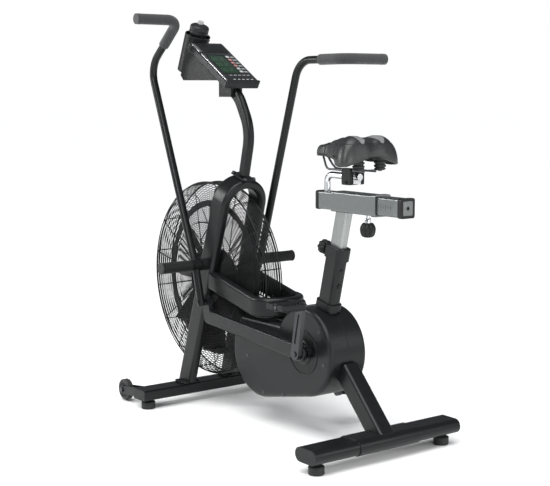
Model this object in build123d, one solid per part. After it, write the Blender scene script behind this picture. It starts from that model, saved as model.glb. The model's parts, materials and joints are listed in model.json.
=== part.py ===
"""Air bike: fan-resistance exercise cycle with swinging handles, in millimetres.

+X points forward, to the fan, +Y to the rider's left and +Z up.
Dimensions are drawn from the floor point midway between the rear base's back
and the wheels' front; the finished pieces are moved so that the origin is on
the floor under the centre of the whole machine.
"""

import math
import os

from build123d import *

# ---- Driving dimensions (mm, degrees) --------------------------------------

LENGTH = 1194.0             # rear face of the rear base to the front of the wheels
BASE_WIDTH = 594.0          # both cross bases
BOX_CENTRE_X = 29.0         # middle of the whole machine, ahead of the middle of its bases

FOOT_R, FOOT_PAD_H = 25.0, 26.0
FOOT_Y_FRONT, FOOT_Y_REAR = 263.0, 260.0
STUD_R = 6.0

FRONT_BASE_X, FRONT_BASE_W, FRONT_BASE_H = 417.0, 76.0, 38.0
FRONT_BASE_BOTTOM = 35.0
REAR_BASE_W, REAR_BASE_H = 100.0, 46.0
REAR_BASE_X = -LENGTH / 2 + REAR_BASE_W / 2
REAR_BASE_BOTTOM = 38.0
WALL = 3.0                  # tube walls
SLEEVE_HALF = 125.0         # middle sleeve on the rear base

WHEEL_R, WHEEL_W = 38.0, 24.0
WHEEL_X, WHEEL_Z = LENGTH / 2 - WHEEL_R, 43.0
WHEEL_Y = 271.0
WHEEL_AXLE_R = 5.0
PLATE_T = 4.0

LEG_DEPTH, LEG_T = 80.0, 33.0           # leg section: along the bike, across it
LEG_LEAN = math.degrees(math.atan(0.302))   # legs lean back from the vertical
LEG_Y_FOOT, LEG_TAPER = 94.0, 1.24      # half spacing at the foot, inward slope
LEG_RUN = 706.0                         # straight part of a leg, along its own axis

HOOP_T, HOOP_H = 30.0, 70.0
HOOP_Y = 85.0
HOOP_FRONT_X, HOOP_FRONT_Z = 262.0, 471.0
HOOP_BOW_X, HOOP_BOW_Z = 3.0, 412.0

FAN_X, FAN_Z = 364.0, 461.0
CAGE_R, CAGE_HALF = 352.0, 50.0
CAGE_RINGS, CAGE_SPOKES = 11, 12
WIRE = 4.0
FAN_TIP_R, FAN_RING_W = 283.0, 22.0
HUB_R = 100.0
FAN_Y = 8.0                             # middle plane of the blades
FAN_HALF = 34.0
BLADES, BLADE_PITCH, BLADE_CHORD, BLADE_T = 8, 38.0, 84.0, 3.0
FAN_AXLE_R = 10.0

BB_X, BB_Z = -247.0, 295.0              # crank axis
JACK_X, JACK_Z = -7.0, 253.0            # intermediate shaft axis
CRANK_PULLEY_R, JACK_SMALL_R = 110.0, 44.0
JACK_BIG_R, FAN_PULLEY_R = 75.0, 30.0
BELT_T, BELT_W = 4.0, 14.0
BELT_1_Y, BELT_2_Y = 50.0, -37.0

CRANK_AXLE_R = 12.0
SHELL_R, SHELL_HALF = 30.0, 36.0        # bottom bracket shell
PIN_OFFSET = (-45.5, 10.0)              # left crank pin from the crank axis, in X and Z
PEDAL_OFFSET = (-72.0, 176.0)           # left pedal axle from the crank axis
CRANK_PIN_R = 10.0
WEB_Y, WEB_T = 83.0, 20.0               # inner web: inboard face and thickness
LINK_Y, LINK_T = 109.5, 16.0
ARM_Y, ARM_T = 128.5, 16.0
PEDAL_Y, PEDAL_W, PEDAL_L, PEDAL_H = 151.0, 92.0, 98.0, 24.0
PEDAL_AXLE_R = 7.0

PIVOT_X, PIVOT_Z = 281.0, 527.0         # handle pivot axis
PIVOT_R = 10.0
HANDLE_Y, HANDLE_R, GRIP_R = 142.0, 13.5, 18.5
HANDLE_BENDS = ((285.0, 697.0), (95.0, 858.0))  # from the pivot, in X and Z
GRIP_END_Y = 315.0
GRIP_START = 0.48                       # share of the upper run that stays bare
LOWER_ANGLE, LEVER_ARM, LEVER_END = 15.0, 128.0, 146.0
SWING = 40.0                            # full travel of a handle
PEG_R, PEG_Y0, PEG_Y1 = 19.0, 160.0, 288.0

HOUSING_R, LOBE_R = 147.0, 154.0
HOUSING_HALF, HOUSING_WALL = 75.0, 3.0
HOUSING_TOP = 366.0                     # flat top under the hoop
PORT_R = 74.0

SEAT_LEAN = 14.0                        # seat tube and post lean back
SEAT_X, SEAT_Z = -328.0, 609.0          # a point on the seat tube's axis
SEAT_TUBE_D, SEAT_TUBE_W = 72.0, 46.0   # depth along the bike, width across it
POST_D, POST_W = 56.0, 30.0
SLEEVE_X0, SLEEVE_X1 = -526.0, -333.0
SLEEVE_Z0, SLEEVE_H, SLEEVE_W = 760.0, 64.0, 60.0
SLIDER_X0, SLIDER_X1 = -620.0, -262.0
SLIDER_H, SLIDER_W = 57.0, 53.0
SADDLE_PIN_X, SADDLE_PIN_R = -281.0, 11.0
SADDLE_PIN_Z, SADDLE_PIN_END = 873.0, -440.0
CLAMP_X = -405.0
NOSE_X, SADDLE_REAR_X = -232.0, -508.0
SADDLE_BOTTOM, SADDLE_TOP = 934.0, 1003.0
SADDLE_HALF_W, NOSE_HALF_W = 116.0, 30.0
SPRING_X, SPRING_Y, SPRING_R = -467.0, 44.0, 20.0

MAST_D, MAST_W = 46.0, 26.0
MAST_FOOT_X, MAST_FOOT_Z = 181.0, 842.0
CONSOLE_LOW = (181.0, 1168.0)           # rider's edge of the face, in X and Z
CONSOLE_SLOPE, CONSOLE_L, CONSOLE_HALF_W = 31.0, 280.0, 72.0
CASE_T = 26.0
HOLDER_TILT, HOLDER_R, HOLDER_L = 22.8, 46.0, 142.0
HOLDER_TOP = (470.0, 1342.0)
BOTTLE_R, CAP_R = 36.0, 35.0
KEY_TRAVEL = 1.0

SIDES = (("left", 1), ("right", -1))
GAP = 0.4                               # free space between parts that move apart
FIT = 0.05                              # radial clearance of a running fit


# ---- Helpers ----------------------------------------------------------------

def cyl_y(x, z, r, y0, y1, bore=0.0):
    """A cylinder, or a ring, along Y from y0 to y1."""
    low, high = min(y0, y1), max(y0, y1)
    plane = Plane(origin=(x, low, z), z_dir=(0, 1, 0), x_dir=(1, 0, 0))
    face = Circle(r)
    if bore:
        face -= Circle(bore)
    return extrude(plane * face, high - low)


def cyl_axis(start, direction, r, length, bore=0.0):
    """A cylinder, or a ring, from a point along a direction."""
    face = Circle(r)
    if bore:
        face -= Circle(bore)
    return extrude(Plane(origin=start, z_dir=direction) * face, length)


def box(x0, x1, y0, y1, z0, z1):
    """A box between two corners."""
    size = (abs(x1 - x0), abs(y1 - y0), abs(z1 - z0))
    centre = ((x0 + x1) / 2, (y0 + y1) / 2, (z0 + z1) / 2)
    return Pos(*centre) * Box(*size)


def side_plane(y):
    """A plane across the bike whose local axes are X and Z."""
    return Plane(origin=(0, y, 0), x_dir=(1, 0, 0), z_dir=(0, -1, 0))


def side_plate(sketch, y0, y1):
    """Extrude an X-Z sketch from y0 to y1."""
    low, high = min(y0, y1), max(y0, y1)
    return extrude(side_plane(high) * sketch, high - low)


def bar_sketch(a, b, ra, rb):
    """A flat bar with round ends about the X-Z points a and b."""
    ends = [Pos(*a) * Circle(ra), Pos(*b) * Circle(rb)]
    return make_hull([edge for end in ends for edge in end.edges()])


def swept(points, radii, face):
    """Sweep a face, drawn about the origin in X-Y, along a rounded path."""
    path = FilletPolyline(*points, radius=radii)
    across = (0, 1, 0) if abs((path % 0).Y) < 0.9 else (1, 0, 0)
    plane = Plane(origin=path @ 0, x_dir=across, z_dir=path % 0)
    return sweep(plane * face, path=path)


def hollow_bar(width, height, length, corner, wall=WALL):
    """A hollow rounded bar along Y, about the origin: width in X, height in Z."""
    plane = Plane(origin=(0, -length / 2, 0), x_dir=(1, 0, 0), z_dir=(0, 1, 0))
    face = RectangleRounded(width, height, corner)
    face -= RectangleRounded(width - 2 * wall, height - 2 * wall, corner - wall)
    return extrude(plane * face, length)


def mirrored(shape, side):
    """The shape itself on the left, its mirror image on the right."""
    return shape if side > 0 else shape.mirror(Plane.XZ)


def turned(shape, degrees, x, z):
    """Turn a shape about the line along +Y through (x, z)."""
    return shape.rotate(Axis((x, 0, z), (0, 1, 0)), degrees)


def group(shapes):
    """Several separate solids in one node."""
    return Compound(children=[solid for shape in shapes for solid in shape.solids()])


def largest(shape):
    """The biggest solid of a shape that a cut has divided."""
    return max(shape.solids(), key=lambda solid: solid.volume)


PARTS = {}


def add(name, shape):
    """Name a finished piece."""
    PARTS[name] = shape


# ---- Base -------------------------------------------------------------------

def foot_places():
    """Every foot: its X, Y and the underside of the tube above it."""
    places = []
    for _, side in SIDES:
        places.append((FRONT_BASE_X, side * FOOT_Y_FRONT, FRONT_BASE_BOTTOM))
        places.append((REAR_BASE_X, side * FOOT_Y_REAR, REAR_BASE_BOTTOM))
    return places


def base_tubes():
    """Two hollow cross tubes with stud holes; a sleeve thickens the middle of the rear one."""
    front = Pos(FRONT_BASE_X, 0, FRONT_BASE_BOTTOM + FRONT_BASE_H / 2) * hollow_bar(
        FRONT_BASE_W, FRONT_BASE_H, BASE_WIDTH, 6.0)
    rear = Pos(REAR_BASE_X, 0, REAR_BASE_BOTTOM + REAR_BASE_H / 2) * hollow_bar(
        REAR_BASE_W, REAR_BASE_H, BASE_WIDTH, REAR_BASE_H / 2 - 0.5)
    for x, y, bottom in foot_places():
        hole = Pos(x, y, bottom) * Cylinder(STUD_R, 4 * WALL)
        front -= hole
        rear -= hole
    sleeve = hollow_bar(REAR_BASE_W + 2 * WALL, REAR_BASE_H + 2 * WALL, 2 * SLEEVE_HALF,
                        REAR_BASE_H / 2 + 2.5)
    sleeve = Pos(REAR_BASE_X, 0, REAR_BASE_BOTTOM + REAR_BASE_H / 2) * sleeve
    add("front_base", front)
    add("rear_base", group([rear, sleeve]))


def base_caps():
    """Plastic plugs for the ends of both cross tubes."""
    caps = []
    for _, side in SIDES:
        y0, y1 = side * (BASE_WIDTH / 2 - 16), side * (BASE_WIDTH / 2 + 3)
        for x, z, w, h, r in (
            (FRONT_BASE_X, FRONT_BASE_BOTTOM + FRONT_BASE_H / 2, FRONT_BASE_W, FRONT_BASE_H, 6.0),
            (REAR_BASE_X, REAR_BASE_BOTTOM + REAR_BASE_H / 2, REAR_BASE_W, REAR_BASE_H,
             REAR_BASE_H / 2 - 0.5),
        ):
            inner = Pos(x, z) * RectangleRounded(w - 2 * WALL, h - 2 * WALL, r - WALL)
            outer = Pos(x, z) * RectangleRounded(w, h, r)
            edge = side * BASE_WIDTH / 2
            caps.append(side_plate(inner, y0, edge) + side_plate(outer, edge, y1))
    return caps


def feet():
    """Rubber pads under the four corners; returns their threaded studs."""
    pads = []
    studs = []
    for x, y, bottom in foot_places():
        pad = Pos(x, y, FOOT_PAD_H / 2) * Cylinder(FOOT_R, FOOT_PAD_H)
        socket = Pos(x, y, FOOT_PAD_H) * Cylinder(STUD_R, 24)
        pads.append(chamfer((pad - socket).edges().group_by(Axis.Z)[0], 2))
        top = bottom + 14
        stud = Pos(x, y, (FOOT_PAD_H - 12 + top) / 2) * Cylinder(STUD_R, top - FOOT_PAD_H + 12)
        nut_h = bottom - FOOT_PAD_H - 1
        nut = Pos(x, y, bottom - nut_h) * extrude(RegularPolygon(11, 6), nut_h)
        studs.append(stud + nut)
    add("foot_pads", group(pads))
    return studs


def wheels():
    """Transport wheels ahead of the front base, each between two plates; returns the bolts."""
    plates = []
    bolts = []
    front = FRONT_BASE_X + FRONT_BASE_W / 2
    plate = make_hull((Pos(WHEEL_X, WHEEL_Z) * Circle(15)).edges()
                      + (Pos(front + 3, 53) * Rectangle(6, 34)).edges())
    for name, side in SIDES:
        inner = side * (WHEEL_Y - WHEEL_W / 2 - 2 - PLATE_T)
        outer = side * (WHEEL_Y + WHEEL_W / 2 + 2)
        for y in (inner, outer):
            plates.append(side_plate(plate, y, y + side * PLATE_T)
                          - cyl_y(WHEEL_X, WHEEL_Z, WHEEL_AXLE_R, y, y + side * PLATE_T))
        end = outer + side * PLATE_T
        bolt = cyl_y(WHEEL_X, WHEEL_Z, WHEEL_AXLE_R, inner - side * 1, end)
        bolt += cyl_y(WHEEL_X, WHEEL_Z, 9, end, end + side * 5)
        bolt += cyl_y(WHEEL_X, WHEEL_Z, 9, inner, inner - side * 7)
        bolts.append(bolt)
        y0, y1 = WHEEL_Y - WHEEL_W / 2, WHEEL_Y + WHEEL_W / 2
        tyre = cyl_y(WHEEL_X, WHEEL_Z, WHEEL_R, side * y0, side * y1, WHEEL_R - 11)
        tyre = fillet(tyre.edges().filter_by(GeomType.CIRCLE).group_by(SortBy.RADIUS)[-1], 5)
        core = cyl_y(WHEEL_X, WHEEL_Z, WHEEL_R - 11, side * (y0 + 3), side * (y1 - 3),
                     WHEEL_AXLE_R + FIT)
        add("wheel_" + name, group([tyre, core]))
    add("wheel_plates", group(plates))
    return bolts


# ---- Fan frame --------------------------------------------------------------

def leg_plane():
    """The leaning plane of the legs: local X across the bike, local Y up the lean."""
    lean = math.radians(LEG_LEAN)
    top = FRONT_BASE_BOTTOM + FRONT_BASE_H
    return Plane(origin=(FRONT_BASE_X, 0, top), x_dir=(0, 1, 0),
                 z_dir=(math.cos(lean), 0, math.sin(lean)))


def leg_x(z):
    """Where the middle of the legs is at a height."""
    return FRONT_BASE_X - math.tan(math.radians(LEG_LEAN)) * (z - FRONT_BASE_BOTTOM - FRONT_BASE_H)


def legs_and_arch():
    """Two flat-oval legs and the half-round arch that joins their tops."""
    plane = leg_plane()
    taper = math.radians(LEG_TAPER)
    foot = -20.0
    plate_top = FRONT_BASE_BOTTOM + FRONT_BASE_H + 4
    y_top = LEG_Y_FOOT - (LEG_RUN - foot) * math.tan(taper)
    arch_r = y_top / math.cos(taper)
    centre = LEG_RUN - arch_r * math.sin(taper)
    face = RectangleRounded(LEG_T, LEG_DEPTH, 14) - RectangleRounded(
        LEG_T - 2 * WALL, LEG_DEPTH - 2 * WALL, 11)
    for name, side in SIDES:
        start = plane.from_local_coords(Vector(side * LEG_Y_FOOT, foot, 0))
        end = plane.from_local_coords(Vector(side * y_top, LEG_RUN, 0))
        run = end - start
        section = Plane(origin=start, x_dir=plane.x_dir, z_dir=run.normalized())
        leg = extrude(section * face, run.length)
        leg -= cyl_y(PIVOT_X, PIVOT_Z, PIVOT_R, -130, 130)
        leg -= box(FRONT_BASE_X - 90, FRONT_BASE_X + 90, -150, 150, 0, plate_top)
        y = side * LEG_Y_FOOT
        plate = box(FRONT_BASE_X - 34, FRONT_BASE_X + 34, y - 33, y + 33, plate_top - 4, plate_top)
        leg += fillet(plate.edges().filter_by(Axis.Z), 8)
        add("leg_" + name, leg)
    local = CenterArc((0, centre), arch_r, LEG_TAPER, 180 - 2 * LEG_TAPER)
    path = plane * local
    section = Plane(origin=path @ 0, x_dir=plane.z_dir, z_dir=path % 0)
    tube = RectangleRounded(LEG_DEPTH, LEG_T, 14) - RectangleRounded(
        LEG_DEPTH - 2 * WALL, LEG_T - 2 * WALL, 11)
    add("arch_top", sweep(section * tube, path=path))
    return plane, centre + arch_r + LEG_T / 2


def hoop():
    """Flat tube hoop behind the fan: two sloping side runs and a level bow."""
    face = RectangleRounded(HOOP_T, HOOP_H, 13) - RectangleRounded(
        HOOP_T - 2 * WALL, HOOP_H - 2 * WALL, 10)
    run = Vector(HOOP_FRONT_X - HOOP_BOW_X, 0, HOOP_FRONT_Z - HOOP_BOW_Z)
    pieces = []
    for name, side in SIDES:
        plane = Plane(origin=(HOOP_BOW_X, side * HOOP_Y, HOOP_BOW_Z), x_dir=(0, 1, 0),
                      z_dir=(1, 0, 0))
        tube = extrude(plane * face, run.length, dir=run.normalized())
        pieces.append(largest(tube - PARTS["leg_" + name] - leg_core(side)))
    path = CenterArc((HOOP_BOW_X, 0, HOOP_BOW_Z), HOOP_Y, 90, 180)
    section = Plane(origin=path @ 0, x_dir=(0, 1, 0), z_dir=path % 0)
    pieces.append(sweep(section * face, path=path))
    add("hoop", group(pieces))


def leg_core(side):
    """The space inside a leg and ahead of it, to trim what is welded to its back."""
    plane = leg_plane()
    block = Pos(side * LEG_Y_FOOT, LEG_RUN / 2, LEG_DEPTH) * Box(120, 2 * LEG_RUN, 2.6 * LEG_DEPTH)
    return plane.location * block


def fan_axle():
    """Fixed axle with its carrier plates on the legs; returns the end nuts."""
    reach = 92.0
    plates = []
    nuts = []
    for _, side in SIDES:
        leg_mid = leg_x(FAN_Z)
        plate = bar_sketch((leg_mid + 22, FAN_Z - 6), (FAN_X, FAN_Z), 34, 22)
        y0 = 57.0
        plates.append(side_plate(plate, side * y0, side * (y0 + 5))
                      - cyl_y(FAN_X, FAN_Z, FAN_AXLE_R, -reach, reach))
        nut = extrude(Plane(origin=(FAN_X, side * (y0 + 5), FAN_Z), z_dir=(0, side, 0))
                      * RegularPolygon(17, 6), 12)
        nuts.append(nut - cyl_y(FAN_X, FAN_Z, FAN_AXLE_R, -reach, reach))
    plates.append(cyl_y(FAN_X, FAN_Z, FAN_AXLE_R, -80, 80))
    add("fan_axle", group(plates))
    return nuts


def cage_face_sketch(side):
    """Rings and spokes of one face of the fan cage, with its hub disc."""
    sketch = Circle(62.0) - Circle(FAN_AXLE_R + 4)
    inner = 62.0
    step = (CAGE_R - inner) / CAGE_RINGS
    for ring in range(1, CAGE_RINGS + 1):
        outer = inner + ring * step
        sketch += Circle(outer) - Circle(outer - WIRE)
    spoke_l = CAGE_R - 60
    for turn in range(CAGE_SPOKES):
        sketch += Rot(0, 0, turn * 360 / CAGE_SPOKES + 15 * side) * Pos(60 + spoke_l / 2 - 1, 0) \
            * Rectangle(spoke_l, WIRE)
    return sketch


def cage():
    """Fan cage: two flat wire faces and a rim of hoops and cross wires."""
    for name, side in SIDES:
        sketch = Pos(FAN_X, FAN_Z) * cage_face_sketch(side)
        add("cage_" + name, side_plate(sketch, side * (CAGE_HALF - WIRE), side * CAGE_HALF))
    edge = CAGE_HALF - WIRE
    hoops = 5
    width = 3.0
    rim = None
    for index in range(hoops):
        y = -edge + width / 2 + index * (2 * edge - width) / (hoops - 1)
        ring = cyl_y(FAN_X, FAN_Z, CAGE_R, y - width / 2, y + width / 2, CAGE_R - WIRE)
        rim = ring if rim is None else rim + ring
    for turn in range(CAGE_SPOKES):
        bar = box(FAN_X + CAGE_R - WIRE, FAN_X + CAGE_R, -edge, edge, FAN_Z - 2, FAN_Z + 2)
        rim += turned(bar, turn * 360 / CAGE_SPOKES + 15, FAN_X, FAN_Z)
    gate = bar_sketch((JACK_X, JACK_Z), (FAN_X, FAN_Z), JACK_BIG_R + 12, FAN_PULLEY_R + 12)
    add("cage_rim", rim - side_plate(gate, BELT_2_Y - 14, BELT_2_Y + 14))


def pivots_and_pegs():
    """Handle pivot axles through the legs, with bosses, and the foot pegs."""
    pieces = []
    for name, side in SIDES:
        axle = cyl_y(PIVOT_X, PIVOT_Z, PIVOT_R, side * 66, side * (PEG_Y0 + 20))
        peg = cyl_y(PIVOT_X, PIVOT_Z, PEG_R, side * PEG_Y0, side * PEG_Y1)
        peg -= cyl_y(PIVOT_X, PIVOT_Z, PIVOT_R, side * PEG_Y0, side * (PEG_Y0 + 20))
        peg -= cyl_y(PIVOT_X, PIVOT_Z, PEG_R - 4, side * (PEG_Y0 + 26), side * PEG_Y1)
        pieces += [axle, peg]
        leg_outer = LEG_Y_FOOT + LEG_T / 2 - (PIVOT_Z - 73) * math.tan(math.radians(LEG_TAPER))
        boss = cyl_y(PIVOT_X, PIVOT_Z, 21, side * (leg_outer - 6), side * 121, PIVOT_R)
        pieces.append(largest(boss - PARTS["leg_" + name]))
    add("foot_pegs", group(pieces))


# ---- Fan --------------------------------------------------------------------

def fan():
    """Hub drum, pitched blades with their outer ring, pulley and bearings."""
    y0, y1 = FAN_Y - FAN_HALF, FAN_Y + FAN_HALF
    bore = FAN_AXLE_R + 12
    drum = cyl_y(FAN_X, FAN_Z, HUB_R, y0, y1, HUB_R - 4)
    drum += cyl_y(FAN_X, FAN_Z, HUB_R, y0 + 10, y0 + 15, bore)
    drum += cyl_y(FAN_X, FAN_Z, HUB_R, y1 - 15, y1 - 10, bore)
    drum += cyl_y(FAN_X, FAN_Z, bore + 5, y0, y1, bore)
    ring = cyl_y(FAN_X, FAN_Z, FAN_TIP_R, FAN_Y - 2, FAN_Y + 2, FAN_TIP_R - FAN_RING_W)
    blades = ring
    for turn in range(BLADES):
        r0, r1 = HUB_R - 2, FAN_TIP_R - FAN_RING_W / 2
        blade = Pos((r0 + r1) / 2, 0, 0) * Rot(BLADE_PITCH, 0, 0) * Box(
            r1 - r0, BLADE_CHORD, BLADE_T)
        blades += turned(Pos(FAN_X, FAN_Y, FAN_Z) * blade, turn * 360 / BLADES, FAN_X, FAN_Z)
    blades -= cyl_y(FAN_X, FAN_Z, HUB_R, y0 - 30, y1 + 30)
    add("fan_blades", blades)
    pulley = cyl_y(FAN_X, FAN_Z, FAN_PULLEY_R, BELT_2_Y - BELT_W / 2 - 1, y0, bore)
    pieces = [drum, pulley]
    for y in (BELT_2_Y - BELT_W / 2 - 1, y1 - 12):
        pieces.append(cyl_y(FAN_X, FAN_Z, bore, y, y + 12, FAN_AXLE_R + FIT))
    add("fan_hub", group(pieces))


# ---- Drive ------------------------------------------------------------------

def belt(a, b, ra, rb, y):
    """A closed belt round two pulleys."""
    ra, rb = ra + GAP, rb + GAP
    outer = bar_sketch(a, b, ra + BELT_T, rb + BELT_T)
    return side_plate(outer - bar_sketch(a, b, ra, rb), y - BELT_W / 2, y + BELT_W / 2)


def pulley(x, z, r, y, bore):
    """A spoked pulley with a flange on each side."""
    face = Circle(r) - Circle(bore)
    if r > 60:
        for turn in range(5):
            face -= Rot(0, 0, 72 * turn) * Pos((r + bore) / 2 + 2, 0) * Circle((r - bore) * 0.24)
    half = BELT_W / 2 + 1
    return side_plate(Pos(x, z) * face, y - half, y + half)


def drive():
    """Crank pulley, intermediate shaft, both belts and the shaft bearings."""
    crank_belt = belt((BB_X, BB_Z), (JACK_X, JACK_Z), CRANK_PULLEY_R, JACK_SMALL_R, BELT_1_Y)
    fan_belt = belt((JACK_X, JACK_Z), (FAN_X, FAN_Z), JACK_BIG_R, FAN_PULLEY_R, BELT_2_Y)
    add("drive_belts", group([crank_belt, fan_belt]))
    add("crank_pulley", pulley(BB_X, BB_Z, CRANK_PULLEY_R, BELT_1_Y, CRANK_AXLE_R))
    shaft_r = 10.0
    shaft = cyl_y(JACK_X, JACK_Z, shaft_r, BELT_2_Y - 10, BELT_1_Y + 10)
    small = pulley(JACK_X, JACK_Z, JACK_SMALL_R, BELT_1_Y, shaft_r)
    big = pulley(JACK_X, JACK_Z, JACK_BIG_R, BELT_2_Y, shaft_r)
    add("jack_shaft", group([shaft, small, big]))
    rings = []
    for y in (-22.0, 12.0):
        rings.append(cyl_y(JACK_X, JACK_Z, 20, y, y + 10, shaft_r + FIT))
    for y in (-SHELL_HALF, SHELL_HALF - 12):
        rings.append(cyl_y(BB_X, BB_Z, SHELL_R - 5, y, y + 12, CRANK_AXLE_R + FIT))
    for _, side in SIDES:
        edge = side * HOUSING_HALF
        rings.append(cyl_y(BB_X, BB_Z, 26.5, edge - side * 12, edge + side * 5, CRANK_AXLE_R + GAP))
    add("bearings", group(rings))


def inner_frame():
    """Beam inside the covers: bottom bracket shell, shaft carrier, hoop bracket."""
    shell = cyl_y(BB_X, BB_Z, SHELL_R, -SHELL_HALF, SHELL_HALF, SHELL_R - 5)
    carrier = cyl_y(JACK_X, JACK_Z, 27, -24, 24, 20)
    beam = side_plate(bar_sketch((BB_X, BB_Z), (JACK_X, JACK_Z), 24, 20), -16, 16)
    beam -= cyl_y(BB_X, BB_Z, SHELL_R, -60, 60)
    beam -= cyl_y(JACK_X, JACK_Z, 27, -60, 60)
    post_x = HOOP_BOW_X - HOOP_Y
    bracket = box(post_x - 18, post_x + 18, -16, 16, BB_Z, HOOP_BOW_Z - HOOP_H / 2)
    bracket = largest(bracket - beam)
    plate = box(post_x - 22, post_x + 22, -45, 45, HOOP_BOW_Z - HOOP_H / 2 - 5,
                HOOP_BOW_Z - HOOP_H / 2)
    web = side_plate(bar_sketch((BB_X, BB_Z), (-360, 252), 20, 18), -14, 14)
    web -= cyl_y(BB_X, BB_Z, SHELL_R, -60, 60)
    web = largest(web - stay_bar())
    add("inner_frame", group([shell + carrier + beam + web, bracket + plate]))


def crank():
    """Crank: axle with webs and pins, then outer arms with pedal axles, half a turn apart."""
    pin = (BB_X + PIN_OFFSET[0], BB_Z + PIN_OFFSET[1])
    toe = (BB_X + PEDAL_OFFSET[0], BB_Z + PEDAL_OFFSET[1])
    web_end = WEB_Y + WEB_T
    arm_end = ARM_Y + ARM_T
    whole = cyl_y(BB_X, BB_Z, CRANK_AXLE_R, -web_end, web_end)
    web = side_plate(bar_sketch((BB_X, BB_Z), pin, 25, 20), WEB_Y, web_end)
    web -= cyl_y(BB_X, BB_Z, CRANK_AXLE_R, WEB_Y, web_end)
    web += cyl_y(*pin, CRANK_PIN_R, web_end, ARM_Y)
    arm = side_plate(bar_sketch(pin, toe, 19, 15), ARM_Y, arm_end)
    slot = bar_sketch((pin[0] - 4, pin[1] + 40), (toe[0] + 3, toe[1] - 36), 5, 4)
    arm -= side_plate(slot, arm_end - 3, arm_end)
    arm -= cyl_y(*toe, PEDAL_AXLE_R, ARM_Y, arm_end)
    axle = cyl_y(*toe, PEDAL_AXLE_R, ARM_Y, PEDAL_Y + PEDAL_W - 8)
    bolt = cyl_y(*pin, 9, arm_end, arm_end + 4)
    outer = []
    for _, side in SIDES:
        turn = 0 if side > 0 else 180
        whole += turned(mirrored(web, side), turn, BB_X, BB_Z)
        for shape in (arm, axle, bolt):
            outer.append(turned(mirrored(shape, side), turn, BB_X, BB_Z))
    add("crank_axle", whole)
    add("crank_arms", group(outer))


def pedals():
    """Platform pedals: a core on the axle inside a toothed cage."""
    x, z = BB_X + PEDAL_OFFSET[0], BB_Z + PEDAL_OFFSET[1]
    y0, y1 = PEDAL_Y, PEDAL_Y + PEDAL_W
    bore = PEDAL_AXLE_R + FIT
    body = Pos(x, (y0 + y1) / 2, z) * Box(PEDAL_L, PEDAL_W, PEDAL_H - 6)
    body = fillet(body.edges().filter_by(Axis.Z), 12)
    for dx in (-31.0, 31.0):
        body -= Pos(x + dx, (y0 + y1) / 2, z) * Box(22, PEDAL_W - 26, PEDAL_H)
    for dx in (-45.0, 45.0):
        for step in range(6):
            tooth = Pos(x + dx, y0 + 14 + step * (PEDAL_W - 28) / 5, z)
            body += tooth * Box(5, 6, PEDAL_H)
    body -= cyl_y(x, z, bore, y0, y1 - 6)
    for name, side in SIDES:
        turn = 0 if side > 0 else 180
        add("pedal_" + name, turned(mirrored(body, side), turn, BB_X, BB_Z))


# ---- Handles and links ------------------------------------------------------

def lever_pin():
    """The left lever's lower pin, in X and Z."""
    angle = math.radians(LOWER_ANGLE)
    return (PIVOT_X - LEVER_ARM * math.sin(angle), PIVOT_Z - LEVER_ARM * math.cos(angle))


def handle_points():
    """The left handle's centre line, from its lower end to the end of the grip."""
    angle = math.radians(LOWER_ANGLE)
    low = (PIVOT_X - LEVER_END * math.sin(angle), HANDLE_Y, PIVOT_Z - LEVER_END * math.cos(angle))
    bends = [(PIVOT_X + dx, HANDLE_Y, PIVOT_Z + dz) for dx, dz in HANDLE_BENDS]
    end = (bends[1][0], GRIP_END_Y, bends[1][2])
    return low, bends[0], bends[1], end


def handles():
    """Bent handle tubes with pivot hubs, foam grips and lever pins."""
    low, elbow, top, end = (Vector(*point) for point in handle_points())
    pivot = Vector(PIVOT_X, HANDLE_Y, PIVOT_Z)
    grip_start = elbow + (top - elbow) * GRIP_START
    tube_end = end - Vector(0, 10, 0)
    face = Circle(HANDLE_R) - Circle(HANDLE_R - 2.5)
    tube = swept([low, pivot, elbow, top, tube_end], [60, 85, 46], face)
    grip_face = Circle(GRIP_R)
    grip = swept([grip_start, top, end], [46], grip_face)
    core = swept([grip_start, top, tube_end], [46], Circle(HANDLE_R))
    hub = cyl_y(PIVOT_X, PIVOT_Z, 22, 125, 158, PIVOT_R + FIT)
    tube = tube - cyl_y(PIVOT_X, PIVOT_Z, 22, 125, 158) + hub
    pin_x, pin_z = lever_pin()
    pin = cyl_y(pin_x, pin_z, 9, HANDLE_Y + HANDLE_R - 3, HANDLE_Y + HANDLE_R + 4)
    pin += cyl_y(pin_x, pin_z, 7, HANDLE_Y - HANDLE_R - 1.2, HANDLE_Y + HANDLE_R - 3)
    for name, side in SIDES:
        back = 0 if side > 0 else -SWING
        pieces = [turned(mirrored(shape, side), back, PIVOT_X, PIVOT_Z)
                  for shape in (tube - pin, pin, grip - core)]
        add("handle_" + name, group(pieces[:2]))
        add("handle_grip_" + name, pieces[2])


def links():
    """Link bars that run from the levers' lower ends to the crank pins."""
    rear = (BB_X + PIN_OFFSET[0], BB_Z + PIN_OFFSET[1])
    front = lever_pin()
    shoulder = (front[0] - 14, front[1] - 58)
    y0, y1 = LINK_Y, LINK_Y + LINK_T
    bar = side_plate(bar_sketch(rear, shoulder, 24, 24), y0, y1)
    bar = fillet(bar.edges(), 5)
    bar += side_plate(bar_sketch(shoulder, front, 20, 20), y0, y1)
    bar -= cyl_y(*rear, CRANK_PIN_R + FIT, y0, y1)
    bar -= cyl_y(*front, 8, y0, y1)
    for name, side in SIDES:
        shape = mirrored(bar, side)
        if side < 0:
            shape = Pos(-2 * PIN_OFFSET[0], 0, -2 * PIN_OFFSET[1]) * shape
        add("link_" + name, shape)


# ---- Covers -----------------------------------------------------------------

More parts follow.
